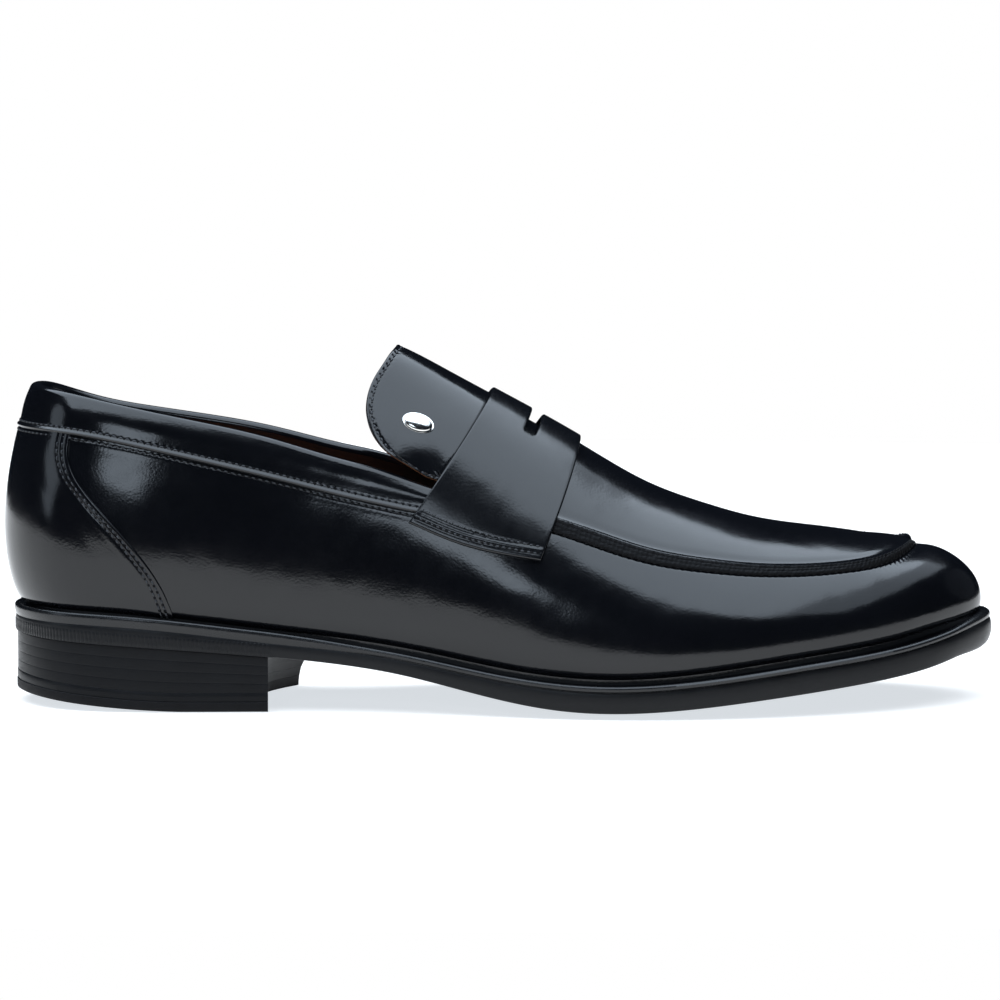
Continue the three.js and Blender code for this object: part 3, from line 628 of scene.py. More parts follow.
for node, material in {
    "insole_board": BOARD, "cork_filler": CORK, "shank": STEEL, "heel_pad": TEXTILE, "heel_counter": STIFF,
    "toe_puff": STIFF, "stud_washer": NICKEL, **{f"heel_nail_{i}": STEEL for i in range(1, 6)},
}.items():
    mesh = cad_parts[node].data
    mesh.materials.clear()
    mesh.materials.append(material)

# ---------------- vamp and quarters


def feather_tuck(phi, v):
    """The leather turns in above the welt."""
    above = np.maximum(v, 0) * rise(phi, np.maximum(v, 0.02))
    tip = smooth((station(phi) - 280) / 18)
    tuck = -np.exp(-above / 1.3) - 0.25 * np.exp(-above / 4)
    return (1 - 0.8 * tip) * tuck + 0.7 * tip * np.exp(-above / 9)


def seam_band(x):
    """Width of the sewn band under the apron's edge."""
    return np.interp(x, [150, 185, 215, 262, 290], [4.6, 4.0, 3.3, 2.5, 1.5])


def toe_share(x):
    return smooth((x - 252) / 34)


def make_vamp():
    columns = 1250
    phi = np.linspace(phi_of(14), TURN - phi_of(14), columns)[:, None]
    top = seam_v(phi)
    per = rise(phi, top - 0.02)
    # Distances below the seam of the close rows, which hold the puckers and grooves.
    down = np.array([9, 8, 7, 6.2, 5.6, 5.1, 4.7, 4.35, 4, 3.7, 3.4, 3.15, 2.9, 2.7, 2.5, 2.3, 2.1, 1.9, 1.6, 1.2,
                     0.6, 0])
    climb = np.linspace(0, 1, 44)[:-1] ** 1.15
    v = np.concatenate([
        np.broadcast_to(UNDER_WELT, (columns, 3)), climb * (top - down[0] / per), top - down / per,
    ], 1)
    along = lengths(surface(phi, v)[:, 40], 0)[:, None]
    below = (top - v) * per
    x = station(phi)
    wobble = 0.5 * np.sin(along / 9.7) + 0.35 * np.sin(along / 4.1 + 1)
    pleats = np.sin(TURN * along / APRON_PITCH + 1.1 * wobble)
    gather = 1 + 0.25 * np.sin(along / 13.0)
    band, toe = seam_band(x), toe_share(x)
    seam = 0.05 * pleats * gather * np.clip((band + 3.5 - below) / 3, 0, 1) ** 1.5 * (below > band - 0.6)
    seam -= 0.3 * gauss(below - band, 0.7) + 0.45 * smooth((band - below) / 0.6)
    seam -= toe * 1.25 * gauss(below, 7.5) + 0.9 * gauss(phi - PI, TIP_SPREAD) * gauss(below, 4.5)
    scallops = np.cos(TURN * along / PITCH)
    collar = -0.15 * gauss(below - 0.9, 0.5) - (0.1 + 0.06 * scallops) * gauss(below - COLLAR_ROW, 0.35)
    collar += 0.04 * gauss(below - 2.6, 0.8)
    height = mix(collar, seam, smooth((x - 150) / 10)) + feather_tuck(phi, v)
    shell("vamp_leather", phi, v, height, np.minimum(height - 0.8, -1.0), CALF, replaces=["vamp"])

    for side in ("outer", "inner"):
        stretch = np.linspace(phi_of(FOXING_TOP), phi_of(ROW_END), 400)
        if side == "inner":
            stretch = TURN - stretch
        surface_row(f"collar_stitches_low_{side}", stretch, below_seam(stretch, COLLAR_ROW), -0.12)

    stretch = np.linspace(phi_of(158), TURN - phi_of(158), 900)
    x = station(stretch)
    v_row = below_seam(stretch, seam_band(x) - 0.2)
    stitches("apron_stitches", point(stretch, v_row, -0.25 - 1.1 * toe_share(x)), normal(stretch, v_row),
             APRON_PITCH, EDGE, length=0.8, radius=0.3, lift=0.1, slant=0.35)


def make_foxing():
    rows, columns = 60, 260
    climb = np.linspace(0, 1, rows - len(UNDER_WELT)) ** 1.05
    seam_back = float(seam_v(phi_of(np.array([30.0])))[0])
    distances = np.array([0, 0.06, 0.14, 0.25, 0.4, 0.6, 0.9, 1.2, 1.45, 1.65, 1.8, 1.95, 2.15, 2.4, 2.65, 2.9,
                          3.15, 3.35, 3.5, 3.65, 3.85, 4.1, 4.5, 5.0, 5.6])
    phi_rows, v_rows = [], []
    for share in (*UNDER_WELT, *climb):
        under = share < 0
        limit = float(foxing_phi(np.array([share if under else share * seam_back]))[0])
        near = distances / (HALF * math.sin(limit))
        line = np.linspace(-limit, limit, columns)
        middle = line[(line > -limit + near[-1]) & (line < limit - near[-1])]
        middle = np.interp(np.linspace(0, 1, columns), np.linspace(0, 1, len(middle)), middle)
        line = np.concatenate([-limit + near, middle, limit - near[::-1]])
        phi_rows.append(line)
        v_rows.append(np.full_like(line, share) if under else share * seam_v(line))
    phi, v = np.array(phi_rows).T, np.array(v_rows).T
    edge = from_ends(surface(phi, v), 0)
    below = (seam_v(phi) - v) * rise(phi, np.maximum(v, 0.05))
    height = 0.75 - rounded(edge, 0.4) - sum(0.1 * gauss(edge - d, 0.4) for d in FOXING_ROWS)
    height += 0.05 * gauss(edge - 2.7, 0.5) + 0.05 * gauss(edge - 5.4, 1.2)
    height -= 0.3 * smooth((edge - 4) / 12)
    height -= 0.15 * gauss(below - 0.9, 0.5) + 0.1 * gauss(below - COLLAR_ROW, 0.35)
    height += feather_tuck(phi, v)
    shell("heel_foxing_leather", phi, v, height, np.minimum(height - 0.7, -0.05), CALF, replaces=["heel_foxing"])

    share = np.linspace(0.02, 0.955, 160)
    limit = foxing_phi(share * seam_back)
    for row, distance in enumerate(FOXING_ROWS):
        for side, sign in (("outer", 1), ("inner", -1)):
            line = sign * (limit - distance / (HALF * np.sin(limit)))
            surface_row(f"foxing_stitches_{row}_{side}", line, share * seam_v(line), 0.7, lift=0.06)
    stretch = np.linspace(-phi_of(FOXING_TOP), phi_of(FOXING_TOP), 300)
    surface_row("collar_stitches_low_back", stretch, below_seam(stretch, COLLAR_ROW), 0.3)

# ---------------- collar


def make_collar():
    phi = np.linspace(-phi_of(138), phi_of(138), 700)[:, None]
    seam = seam_v(phi)
    per = rise(phi, seam)
    radius = 2.0  # of the roll over the topline
    over = 0.48  # height of the band's outer face
    inside = over - 2 * radius
    v_top, v_low = below_topline(phi, 1.9), below_topline(phi, 12)
    # (distance above the seam, height) of the rolled lower edge
    ridge = [(-0.62, -0.3), (-0.6, 0.25), (-0.48, 0.68), (-0.25, 0.95), (0.0, 1.05), (0.28, 0.98), (0.5, 0.8),
             (0.75, 0.58), (1.1, 0.47), (1.5, 0.42), (1.9, 0.42), (2.3, 0.46), (2.75, 0.5)]
    along = lengths(point(phi, seam)[:, 0], 0)[:, None]
    dots = np.cos(TURN * along / PITCH)

    def ring(v, height):
        return point(phi, v, height)[:, 0]

    rings = [ring(seam + w / per, h - 0.06 * dots * gauss(w - 1.35, 0.4)) for w, h in ridge]
    for share in np.linspace(0.08, 1, 12):
        w = mix(ridge[-1][0], (v_top - seam) * per, share)
        rings.append(ring(seam + w / per, over + 0.28 * np.sin(PI * share)))
    n = normal(phi, v_top)[:, 0]
    up = unit(surface(phi, v_top + STEP) - surface(phi, v_top - STEP))[:, 0]
    centre = ring(v_top, over - radius)
    for angle in np.linspace(0, PI, 13)[1:]:
        rings.append(centre + radius * (n * math.cos(angle) + up * 1.05 * math.sin(angle)))
    lower = [(share, inside - 0.35 * math.sin(PI * share)) for share in (0.15, 0.4, 0.65, 0.85, 0.97)]
    lower += [(1.0, inside + 0.15), (1.0, inside + 0.9), (0.5, -2.4), (0.0, -1.6)]
    rings += [ring(mix(v_top, v_low, share), height) for share, height in lower]
    rings += [ring(seam + 3 / per, -0.9), ring(seam, -0.9)]
    sweep("collar_band_leather", np.stack(rings, 1), CALF, replaces=["collar_band", "collar_facing"])

    stretch = np.linspace(-phi_of(128), phi_of(128), 900)
    surface_row("collar_stitches_high", stretch, below_seam(stretch, -1.35), 0.4)
    surface_row("collar_stitches_inside", stretch, below_topline(stretch, 10.4), inside - 0.1, facing=-1,
                slot="black_lining")

# ---------------- apron and its raised seam


def make_apron():
    phi = np.linspace(phi_of(150), PI, 300)[:, None]
    near = np.array([0.0, 0.1, 0.22, 0.4, 0.65, 1.0, 1.5, 2.1, 2.9, 3.9, 5.2])  # mm from the seam

    def half(phi):
        """v from the seam on one side up to the crest."""
        seam = seam_v(phi)
        v_near = seam + near / rise(phi, seam + 0.03)
        return np.concatenate([v_near, mix(v_near[:, -1:], 1, np.linspace(0, 1, 70)[1:])], 1)

    v = np.concatenate([half(phi), 2 - half(TURN - phi)[:, -2::-1]], 1)
    base = surface(phi, v)
    edge = from_ends(base, 1)
    toe = toe_share(station(phi) + 6)
    rim = 1.15 + toe * (0.7 * (v > 1) - 0.3) - 1.6 * gauss(phi - PI, TIP_SPREAD)
    height = rim * np.exp(-edge / 1.15) - 0.28 * gauss(edge - 2.6, 1.3) - rounded(edge, 0.3)
    height -= 0.6 * toe * (1 - np.exp(-edge / 4))
    # Under the strap the apron sinks away.
    strap_front = strap_edge(STRAP_FRONT, np.minimum(np.abs(1 - v) / (1 - strap_end(1.0)), 1))
    height = mix(height, -1.5, smooth((strap_front - 2.2 - base[..., 0]) / 2.0))
    shell("apron_leather", phi, v, height, np.minimum(height - 1.2, -0.9), CALF, replaces=["apron"])


def make_apron_seam():
    """The raised, gathered edge between apron and vamp."""
    phi = np.linspace(phi_of(152), TURN - phi_of(152), 1600)[:, None]
    seam = seam_v(phi)
    per = rise(phi, seam)
    along = lengths(surface(phi, seam)[:, 0], 0)[:, None]
    x = station(phi)
    toe, band = toe_share(x), seam_band(x)
    tip, inner = gauss(phi - PI, TIP_SPREAD), smooth((phi - PI - 0.12) / 0.35)
    # (share of the band's width below the seam, height)
    profile = [(-0.05, -0.6), (-0.05, 0.85), (0.0, 1.2), (0.08, 1.3), (0.2, 1.22), (0.26, 1.02), (0.32, 1.02),
               (0.42, 1.08), (0.52, 0.98), (0.58, 0.8), (0.64, 0.8), (0.74, 0.84), (0.84, 0.72), (0.92, 0.5),
               (0.98, 0.2), (1.0, -0.2), (1.0, -1.0)]
    rings = []
    for share, h in profile:
        proud = float(h > 0.4)
        twist = np.sin(TURN * along / 1.5 + 5 * share)
        ripple = 0.05 * np.sin(along * 1.3 + 9 * share) * np.sin(along * 0.37)
        wave = proud * ((0.07 + 0.13 * toe) * twist + ripple)
        drop = toe * 1.2 * smooth((share - 0.5) / 0.5) + proud * (1.9 * tip - 0.7 * toe * inner)
        height = h * (1 - 0.25 * share) - 0.2 * toe * proud + wave - drop
        rings.append(point(phi, seam - share * band / per, height)[:, 0])
    sweep("apron_seam_edge", np.stack(rings, 1), EDGE)

# ---------------- strap


def strap_v(x, side):
    """v on the strap at a station; side goes from -1 at the outer end to 1 at the inner one."""
    rear, front = strap_edge(STRAP_REAR, side), strap_edge(STRAP_FRONT, side)
    v = 1 - (1 - strap_end((x - rear) / (front - rear))) * np.abs(side)
    return np.where(side > 0, 2 - v, v)


def make_strap():
    near_slot = SLOT_SIDE - np.array([0.0, 0.0015, 0.004, 0.008, 0.013, 0.02, 0.03, 0.04])
    near_end = np.array([0.06, 0.12, 0.22, 0.36, 0.6, 1.0, 1.4, 2, 2.6, 3.2, 3.8, 4.4, 5]) / STRAP_HALF
    half = np.unique(np.concatenate([np.linspace(0, 1, 60), near_slot, 1 - near_end]))
    side = np.concatenate([-half[:0:-1], half])[:, None]
    a = np.abs(side)
    rear, front = strap_edge(STRAP_REAR, side), strap_edge(STRAP_FRONT, side)
    # The slot's two sides; past its ends the lines go on as a strip that is kept.
    slot_round = np.clip((a - (SLOT_SIDE - SLOT_ROUND)) / SLOT_ROUND, 0, 1)
    slot_half = SLOT_WIDTH / 2 * np.sqrt(1 - slot_round**2) + 1.5 * smooth((a - SLOT_SIDE) / 0.1)
    x_slot = SLOT_X - SLOT_SWAY * (a / SLOT_SIDE) ** 2
    x_slot = mix(x_slot, (rear + front) / 2, smooth((a - SLOT_SIDE) / 0.5))
    lo, hi = x_slot - slot_half, x_slot + slot_half
    shares = spread(26, 16)
    m = len(shares)
    x = np.concatenate([mix(rear, lo, shares), mix(hi, front, shares)], 1)
    phi, v = phi_of(x), strap_v(x, side)
    base = surface(phi, v)
    from_rear, from_end = lengths(base, 1), from_ends(base, 0)
    from_front = from_rear[:, -1:] - from_rear
    to_slot = np.concatenate([lo - x[:, :m], x[:, m:] - hi], 1) * 1.08
    to_slot = np.where(a < SLOT_SIDE, to_slot, 99)
    edge = np.minimum.reduce([from_rear, from_front, from_end, to_slot])
    dots = np.cos(TURN * from_rear / STRAP_PITCH)
    rows = sum((0.2 + 0.14 * dots) * gauss(from_end - d, 0.42) for d in STRAP_ROWS)
    rows = rows * (from_rear > 1) * (from_front > 1)
    lift = mix(2.1, 1.5, a) + 0.6 * np.sin(PI * a)
    height = lift - rounded(edge, 0.55) - rows + 0.1 * gauss(from_end - 3.0, 0.6)
    keep = np.ones((len(side) - 1, x.shape[1] - 1), bool)
    keep[(a[:-1, 0] + a[1:, 0]) / 2 < SLOT_SIDE, m - 1] = False
    shell("strap_leather", phi, v, height, np.minimum(mix(0.35, -0.05, a), height - 0.6), CALF_STRAP, keep=keep,
          replaces=["strap", "strap_lining"])

    for name, sign in (("outer", -1), ("inner", 1)):
        for distance in STRAP_ROWS:
            a = 1 - distance / STRAP_HALF
            x = mix(strap_edge(STRAP_REAR, a) + 1.5, strap_edge(STRAP_FRONT, a) - 1.5, np.linspace(0, 1, 120))
            surface_row(f"strap_stitches_{name}_{int(distance)}", phi_of(x), strap_v(x, sign * a), 1.46,
                        pitch=STRAP_PITCH, lift=0.05, radius=0.26)

# ---------------- tongue


def tongue_points(inset=0.0):
    """phi and v of the tongue's grid, and its rows' places from -1 on the outer side to 1."""
    s = spread(70, 30, first=False)
    q = (2 * spread(150, 62) - 1)[:, None]
    side = np.abs(q)
    v = 1 - (1 - TONGUE_SIDE) * side * (1 - inset * 0.02)
    root = strap_edge(STRAP_REAR, (1 - v) / (1 - STRAP_END_REAR)) + TONGUE_ROOT
    end = tongue_end(side**2) + inset + np.where(q > 0, 4.0 * smooth(side / 0.5), 0)
    x = mix(root, end, s[None, :])
    return phi_of(x), np.where(q > 0, 2 - v, v) + 0 * x, q


def tongue_flare(q, run):
    return 2.1 * np.clip((np.abs(q) - 0.48) / 0.52, 0, 1) ** 1.7 * smooth((run - 8) / 16)


def make_tongue():
    phi, v, q = tongue_points()
    base = surface(phi, v)
    across, run = lengths(base, 0), lengths(base, 1)
    from_sides, from_end = from_ends(base, 0), run[:, -1:] - run
    edge = np.minimum(from_sides, from_end)
    dots = np.cos(TURN * np.where(from_end < from_sides, across, run) / TONGUE_PITCH)
    flare = tongue_flare(q, run)
    height = 0.05 - rounded(edge, 0.5) - (0.26 + 0.16 * dots) * gauss(edge - TONGUE_ROW, 0.55)
    height += 0.16 * gauss(edge - 0.8, 0.4) - 0.9 * (1 - smooth((run - 6.3) / 1.9)) + flare
    tongue = shell("tongue_leather", phi, v, height, np.minimum(height - 0.3, flare - 1.2), CALF, body=None,
                   replaces=["tongue"])
    phi_in, v_in, q_in = tongue_points(inset=0.35)
    flare_in = tongue_flare(q_in, lengths(surface(phi_in, v_in), 1))
    lining = shell("tongue_lining_leather", phi_in, v_in, flare_in - 1.25, flare_in - 2.1, BLACK_LINING, body=None,
                   replaces=["tongue_lining"], slot="black_lining")

    # The stitch line runs along both sides and round the free end, at one distance from the edge.
    def nearest(distances):
        return int(np.abs(distances - TONGUE_ROW).argmin())

    n, m = phi.shape
    half, root = n // 2, int(m * 0.28)
    line = [(i, nearest(from_end[i])) for i in range(n)]
    line = [(i, k) for i, k in line if from_sides[i, k] >= TONGUE_ROW - 0.4]
    outer = [(nearest(across[:half, j]), j) for j in range(root, line[0][1] + 1)]
    inner = [(half + nearest(across[-1, j] - across[half:, j]), j) for j in range(line[-1][1], root - 1, -1)]
    i, j = np.array(outer + line + inner).T
    out = normal(phi[i, j], v[i, j])
    points = base[i, j] + out * flare[i, j][:, None]
    for _ in range(12):
        points[1:-1] = (points[:-2] + points[1:-1] * 2 + points[2:]) / 4
    threads = seam_row("tongue_stitches", points - out * 0.16, out, TONGUE_PITCH, body=None, radius=0.33,
                       lift=0.02)
    return tongue, lining, *threads


def make_stud():
    """A plain domed oval stud with a narrow flange, on a shank through the tongue."""
    x_stud, v_stud, length, width = 126, 0.65, 9.5, 6.0
    out = normal(phi_of(x_stud), v_stud)
    at = surface(phi_of(x_stud), v_stud) + out * 0.45
    ahead = unit(surface(phi_of(x_stud + 1), v_stud) - at)
    across = unit(np.cross(ahead, out))
    ahead = np.cross(out, across)
    angle = np.linspace(0, TURN, 72, endpoint=False)

    def ring(along, sideways, h):
        oval = ahead * (along * np.cos(angle))[:, None] + across * (sideways * np.sin(angle))[:, None]
        return at + out * h + oval

    # (radius, height), the dome's radius as a share of the oval
    shank = [(0.0, -3.35), (0.9, -3.3), (1.25, -3.1), (1.25, -2.9), (0.95, -2.75), (0.95, 0.2), (0.0, 0.25)]
    dome = [(0.0, 0.1), (1.0, 0.1), (1.04, 0.22), (1.02, 0.38), (0.94, 0.46), (0.9, 0.52), (0.88, 0.66),
            (0.82, 0.9), (0.7, 1.18), (0.52, 1.4), (0.3, 1.54), (0.12, 1.6), (0.0, 1.61)]
    rings = [ring(r, r, h) for r, h in shank]
    rings += [ring(r * length / 2, r * width / 2, h * 0.72 + 0.12) for r, h in dome]
    build("tongue_stud_metal", np.stack(rings), ring_faces(len(rings), len(angle)), NICKEL, body="tongue",
          replaces=["tongue_stud"], slot="nickel")

# ---------------- linings


def make_linings():
    for name, sign in (("outer", 1), ("inner", -1)):
        phi = sign * np.linspace(0.004, phi_of(136), 260)[:, None]
        v = np.linspace(0, 1, 40) * below_topline(phi, 11.2)
        v = np.concatenate([np.broadcast_to([-1.0, -0.5], (len(phi), 2)), v], 1)
        if sign < 0:
            phi, v = phi[::-1], v[::-1]
        ripple = 0.12 * np.sin(phi * 9) * np.sin(v * 7)
        shell(f"quarter_lining_{name}_leather", phi, v, LINING_THICKNESS - LINING_FACE, ripple - LINING_FACE, TAN,
              replaces=[f"quarter_lining_{name}"], slot="tan_lining")
    phi = np.linspace(phi_of(134), PI, 160)[:, None]
    q = np.linspace(-1, 1, 121)[None, :]
    v = 1 - np.abs(q) * 1.35
    v = np.where(v < 0, v / 0.35, v)
    shell("vamp_lining_drill", np.where(q > 0, TURN - phi, phi), v, LINING_THICKNESS - LINING_FACE, -LINING_FACE,
          TEXTILE, replaces=["vamp_lining"], slot="textile")


def make_toe_puff():
    phi = np.linspace(phi_of(254), PI, 90)[:, None]
    q = np.linspace(-1, 1, 121)[None, :]
    v = mix(1, 0.06, np.abs(q))
    shell("toe_puff_board", phi, np.where(q > 0, 2 - v, v), -2.5, -3.05, STIFF, replaces=["toe_puff"],
          slot="stiffener")


def make_sock():
    phi = np.linspace(0.0, PI, 220)[:, None]
    share = spread(60, 80)[None, :]
    inwards = welt_width(station(phi)) + LINING_FACE + 0.1
    ox, oy = plan(phi, inwards)
    ix, iy = plan(TURN - phi, inwards)
    x, y = mix(ox, ix, share), mix(oy, iy, share)
    z = welt_top(x) + SOCK_HEIGHT + 0.9 * (2 * share - 1) ** 6
    top = np.stack([x, y, z], -1)
    slab("sock_liner_leather", top, top - [0, 0, SOCK_THICKNESS], TAN, replaces=["sock_liner"], slot="tan_lining")

# ---------------- bottom


ROUND = np.linspace(0, TURN, 1400, endpoint=False)


def seat_share(x):
    return smooth((118 - x) / 40)


def level(phi, inwards, z):
    """A ring of points round the sole."""
    return np.stack([*plan(phi, inwards), z], 1)


def make_welt():
    x = station(ROUND)
    width, top = welt_width(x), welt_top(x)
    seat, toe = seat_share(x), smooth((x - 285) / 14)
    # (share of the width, depth in front, depth round the heel seat)
    profile = [(-1.6, -4.2, -3.9), (-1.6, -2.1, -0.9), (0.1, -1.95, -0.7), (0.4, -1.5, -0.32),
               (0.65, -1.15, -0.08), (0.82, -1.0, 0.0), (0.97, -1.08, -0.14), (1.08, -1.35, -0.5),
               (1.14, -1.75, -1.05), (1.13, -2.15, -1.7), (1.07, -2.55, -2.4), (0.98, -2.82, -3.0),
               (0.9, -3.0, -3.5), (0.87, -3.3, -3.9), (0.87, -3.9, -4.1)]
    rings = []
    for share, front, back in profile:
        drop = mix(front, back, seat)
        drop = drop + 0.9 * toe * smooth((drop + 3.2) / 1.6)
        rings.append(level(ROUND, width * (1 - share) + toe * 1.3 * np.exp(drop / 1.1), top + drop))
    sweep("welt_leather", np.stack(rings, 1), WELT, closed=True, replaces=["welt"], slot="sole_leather")


def make_outsole():
    x = station(ROUND)
    toe = smooth((x - 276) / 22)
    top = welt_top(x) - mix(3.1, 3.45, seat_share(x)) + 0.6 * smooth((x - 284) / 12)
    bottom = sole_bottom(x) - 1.3 * smooth((x - 289) / 10)
    # (distance inwards, share of the thickness)
    edge = [(0.5, 1.0), (0.22, 0.985), (0.08, 0.93), (0.0, 0.8), (-0.05, 0.6), (-0.02, 0.42), (0.08, 0.27),
            (0.18, 0.17), (0.24, 0.12), (0.4, 0.06), (0.6, 0.025), (1.2, 0.0)]
    centre = np.array([mix(MIDDLE, x, 0.86), (outline_y(ROUND) + outline_y(TURN - ROUND)) / 2])
    rings = [np.stack([*centre, top], 1)]
    for inwards, share in edge:
        inwards = inwards + toe * (0.8 * (1 - share) ** 2 - 0.7 * math.sin(PI * share) ** 0.6)
        rings.append(level(ROUND, inwards, mix(bottom, top, share)))
    rim = np.array(plan(ROUND, 1.2 + toe * 0.8))
    for t in np.linspace(0, 1, 22)[1:]:
        rings.append(np.stack([*mix(rim, centre, t), bottom - SOLE_CROWN * (1 - (1 - t) ** 2)], 1))
    sweep("outsole_leather", np.stack(rings, 1), SOLE, closed=True, replaces=["outsole"], slot="sole_leather")


def make_wheeling():
    """The ribbed strip pressed into the sole's edge round the heel seat."""
    phi = np.linspace(-phi_of(87), phi_of(82.5), 2600)
    px, py = plan(phi)
    along = np.insert(np.cumsum(np.hypot(np.diff(px), np.diff(py))), 0, 0)
    rib = np.abs(np.sin(PI * along / RIB_PITCH)) ** 0.7
    rib = rib * np.minimum(1, np.minimum(along, along[-1] - along) / 1.2)
    bottom = sole_bottom(station(phi)) - 0.05
    # (distance inwards, share of the height, how much it is ribbed)
    profile = [(0.5, 0.0, 0), (0.1, 0.03, 0.6), (-0.02, 0.14, 1), (-0.05, 0.3, 1), (-0.05, 0.7, 1),
               (-0.02, 0.88, 1), (0.1, 0.97, 0.6), (0.5, 1.0, 0)]
    rings = [level(phi, inwards + 0.12 - 0.2 * rib * ribbed, bottom + RIB_HEIGHT * share)
             for inwards, share, ribbed in profile]
    sweep("heel_seat_wheeling", np.stack(rings, 1), SOLE, slot="sole_leather", sharp=50)

# ---------------- heel

HEEL_INSET = 0.6
FLAT_FROM, FOOT_RISE = 55.0, 3.9
BREAST_OUTER, BREAST_TOP, BREAST_FOOT, BREAST_HOLLOW = 81.0, 92.2, 88.3, 9.0


def heel_foot(x):
    share = np.clip((FLAT_FROM - x) / (FLAT_FROM - HEEL_BACK), 0, 1)
    return FOOT_RISE * share**1.5


def heel_top(x):
    return sole_bottom(x) - 0.1


def heel_ring(share, inset):
    """One level of the heel: round the back and across the breast."""
    inner = mix(BREAST_FOOT, BREAST_TOP, smooth(share * 1.15))
    phi = np.concatenate([np.linspace(phi_of(BREAST_OUTER), 0, 260), np.linspace(0, -phi_of(inner), 270)[1:]])
    px, py = plan(phi, inset)
    t = np.linspace(0, 1, 60)[1:-1]
    bx = mix(px[-1], px[0], t) - BREAST_HOLLOW * 4 * t * (1 - t)
    return np.concatenate([px, bx]), np.concatenate([py, mix(py[-1], py[0], t)])


def heel_block(name, levels, material, shares, heights, **options):
    """A layer of the heel: its range of shares, and the height lines of its two faces."""
    rings = []
    for share, inset in levels:
        x, y = heel_ring(mix(*shares, share), inset)
        rings.append(np.stack([x, y, mix(heights[0](x), heights[1](x), share)], 1))
    ends = []
    for ring, height in ((rings[0], heights[0]), (rings[-1], heights[1])):
        x = mix(ring[:, 0], 50, 0.6)
        ends.append(np.stack([x, ring[:, 1] * 0.4, height(x)], 1))
    sweep(name, np.stack([ends[0], *rings, ends[1]]), material, **options)


def make_heel():
    above_foot = lambda height: lambda x: heel_foot(x) + height
    lifts = 4
    lift = ((0.0, 0.05), (0.04, 0.012), (0.09, 0.0), (0.5, -0.01), (0.91, 0.0), (0.96, 0.012))
    levels = [(mix(k / lifts, (k + 1) / lifts, t), HEEL_INSET + inset)
              for k in range(lifts) for t, inset in lift]
    levels.append((1.0, HEEL_INSET + 0.05))
    heel_block("heel_stack_leather", levels, STACK, (0.27, 1.0), (above_foot(5.75), heel_top),
               replaces=["heel_lift_1", "heel_lift_2", "heel_lift_3", "heel_lift_4"], slot="sole_leather")
    levels = [(0.0, 0.62), (0.05, 0.52), (0.5, 0.5), (0.95, 0.52), (1.0, 0.6)]
    heel_block("top_lift_base_leather", levels, STACK, (0.14, 0.26), (above_foot(3.05), above_foot(5.7)),
               replaces=["top_lift_base"], slot="sole_leather")
    levels = [(0.0, 0.8), (0.05, 0.5), (0.15, 0.36), (0.5, 0.33), (0.93, 0.36), (1.0, 0.62)]
    heel_block("top_lift_rubber_piece", levels, RUBBER, (0.0, 0.14), (heel_foot, above_foot(3.0)),
               replaces=["top_lift"], slot="rubber")


make_vamp()
make_foxing()
make_collar()
make_apron()
make_apron_seam()
make_strap()
tongue_pieces = make_tongue()
make_stud()
make_linings()
make_toe_puff()
make_sock()
make_welt()
make_outsole()
make_wheeling()
make_heel()

for piece in tongue_pieces:
    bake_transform(piece)

# ---------------- stage, light and camera


FLOOR_SIZE, FLOOR_MIDDLE, FLOOR_SIDES = (0.95, 0.62), 0.2, 160
LIGHT_COLOUR = (0.75, 0.868, 1.0)
CAMERA_DISTANCE, CAMERA_TILT, CAMERA_TARGET = 2, math.radians(6), (-0.0001, 0, 0.0606)


def stage():
    n = Nodes("studio_floor")
    n.set(Base_Color=n.colour(n.noise(3.0, 2.0), (0.56, 0.5, 0.45), (0.58, 0.52, 0.465)), Roughness=0.6,
          Specular_IOR_Level=0.0, Emission_Color=(0.9, 0.95, 1.0, 1), Emission_Strength=0.74)
    mesh = bpy.data.meshes.new("studio_floor")
    angle = np.linspace(0, TURN, FLOOR_SIDES, endpoint=False)
    width, depth = FLOOR_SIZE
    rim = np.stack([width * np.cos(angle), FLOOR_MIDDLE + depth * np.sin(angle), 0 * angle], 1)
    mesh.from_pydata(rim.tolist(), [], [list(range(FLOOR_SIDES))])
    mesh.materials.append(n.material)
    floor = bpy.data.objects.new("studio_floor", mesh)
    floor.location.z = -0.0002
    link(floor)


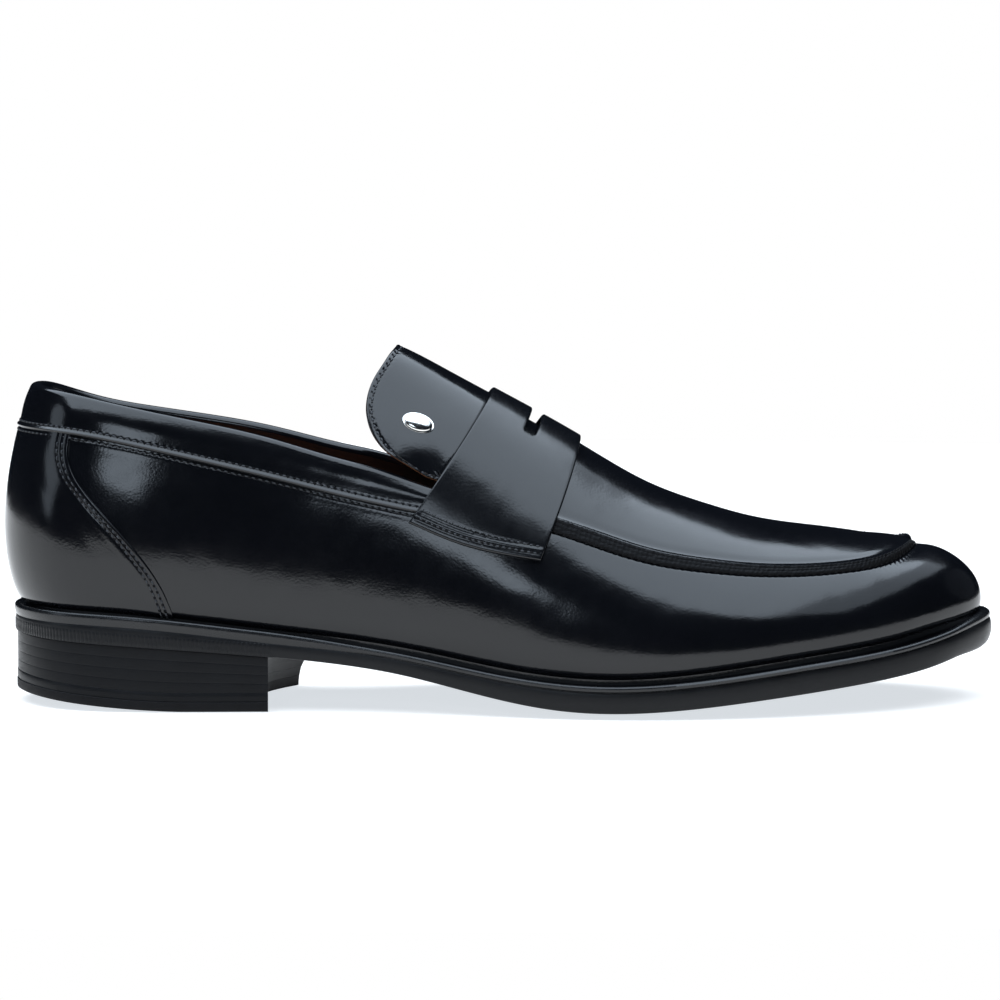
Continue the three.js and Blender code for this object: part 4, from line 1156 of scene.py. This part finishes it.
def aim(obj, target):
    obj.rotation_euler = (Vector(target) - Vector(obj.location)).to_track_quat("-Z", "Y").to_euler()


def light(name, at, target, size, power):
    data = bpy.data.lights.new(name, "AREA")
    data.shape = "RECTANGLE" if name.startswith("overhead") else "ELLIPSE"
    data.size, data.size_y = size
    data.energy = power
    data.color = LIGHT_COLOUR
    lamp = bpy.data.objects.new(name, data)
    lamp.location = at
    aim(lamp, target)
    link(lamp)


def lighting():
    """Area lamps, and a world that is white to the camera and nearly black to everything else."""
    world = bpy.data.worlds.new("studio")
    bpy.context.scene.world = world
    world.use_nodes = True
    tree = world.node_tree
    path = tree.nodes.new("ShaderNodeLightPath")
    mixer = tree.nodes.new("ShaderNodeMix")
    mixer.data_type = "RGBA"
    mixer.inputs[6].default_value = (0.006, 0.008, 0.012, 1)
    mixer.inputs[7].default_value = (1, 1, 1, 1)
    tree.links.new(path.outputs["Is Camera Ray"], mixer.inputs[0])
    tree.links.new(mixer.outputs[2], tree.nodes["Background"].inputs["Color"])
    light("overhead", (-0.3, -0.065, 1.25), (-0.3, -0.065, 0.0), (2.1, 2.03), 54)
    light("overhead_front", (1.0, -0.065, 1.25), (1.0, -0.065, 0.0), (0.5, 2.03), 5.2)
    light("front_left", (-0.42, -1.36, 0.58), (-0.1, 0, 0.05), (0.5, 0.3), 1.7)
    light("left", (-1.3, -0.4, 0.45), (-0.1, 0, 0.05), (0.5, 0.7), 1.3)
    light("right", (1.3, 0.6, 0.5), (0.1, 0, 0.05), (0.9, 0.9), 0.15)


def camera():
    data = bpy.data.cameras.new("camera")
    data.lens = 236.4
    data.sensor_width = 36
    data.clip_end = 50
    cam = bpy.data.objects.new("camera", data)
    x, y, z = CAMERA_TARGET
    cam.location = (x, y - CAMERA_DISTANCE * math.cos(CAMERA_TILT), z + CAMERA_DISTANCE * math.sin(CAMERA_TILT))
    aim(cam, CAMERA_TARGET)
    link(cam)
    bpy.context.scene.camera = cam


stage()
lighting()
camera()
bpy.context.scene.view_settings.view_transform = "Standard"
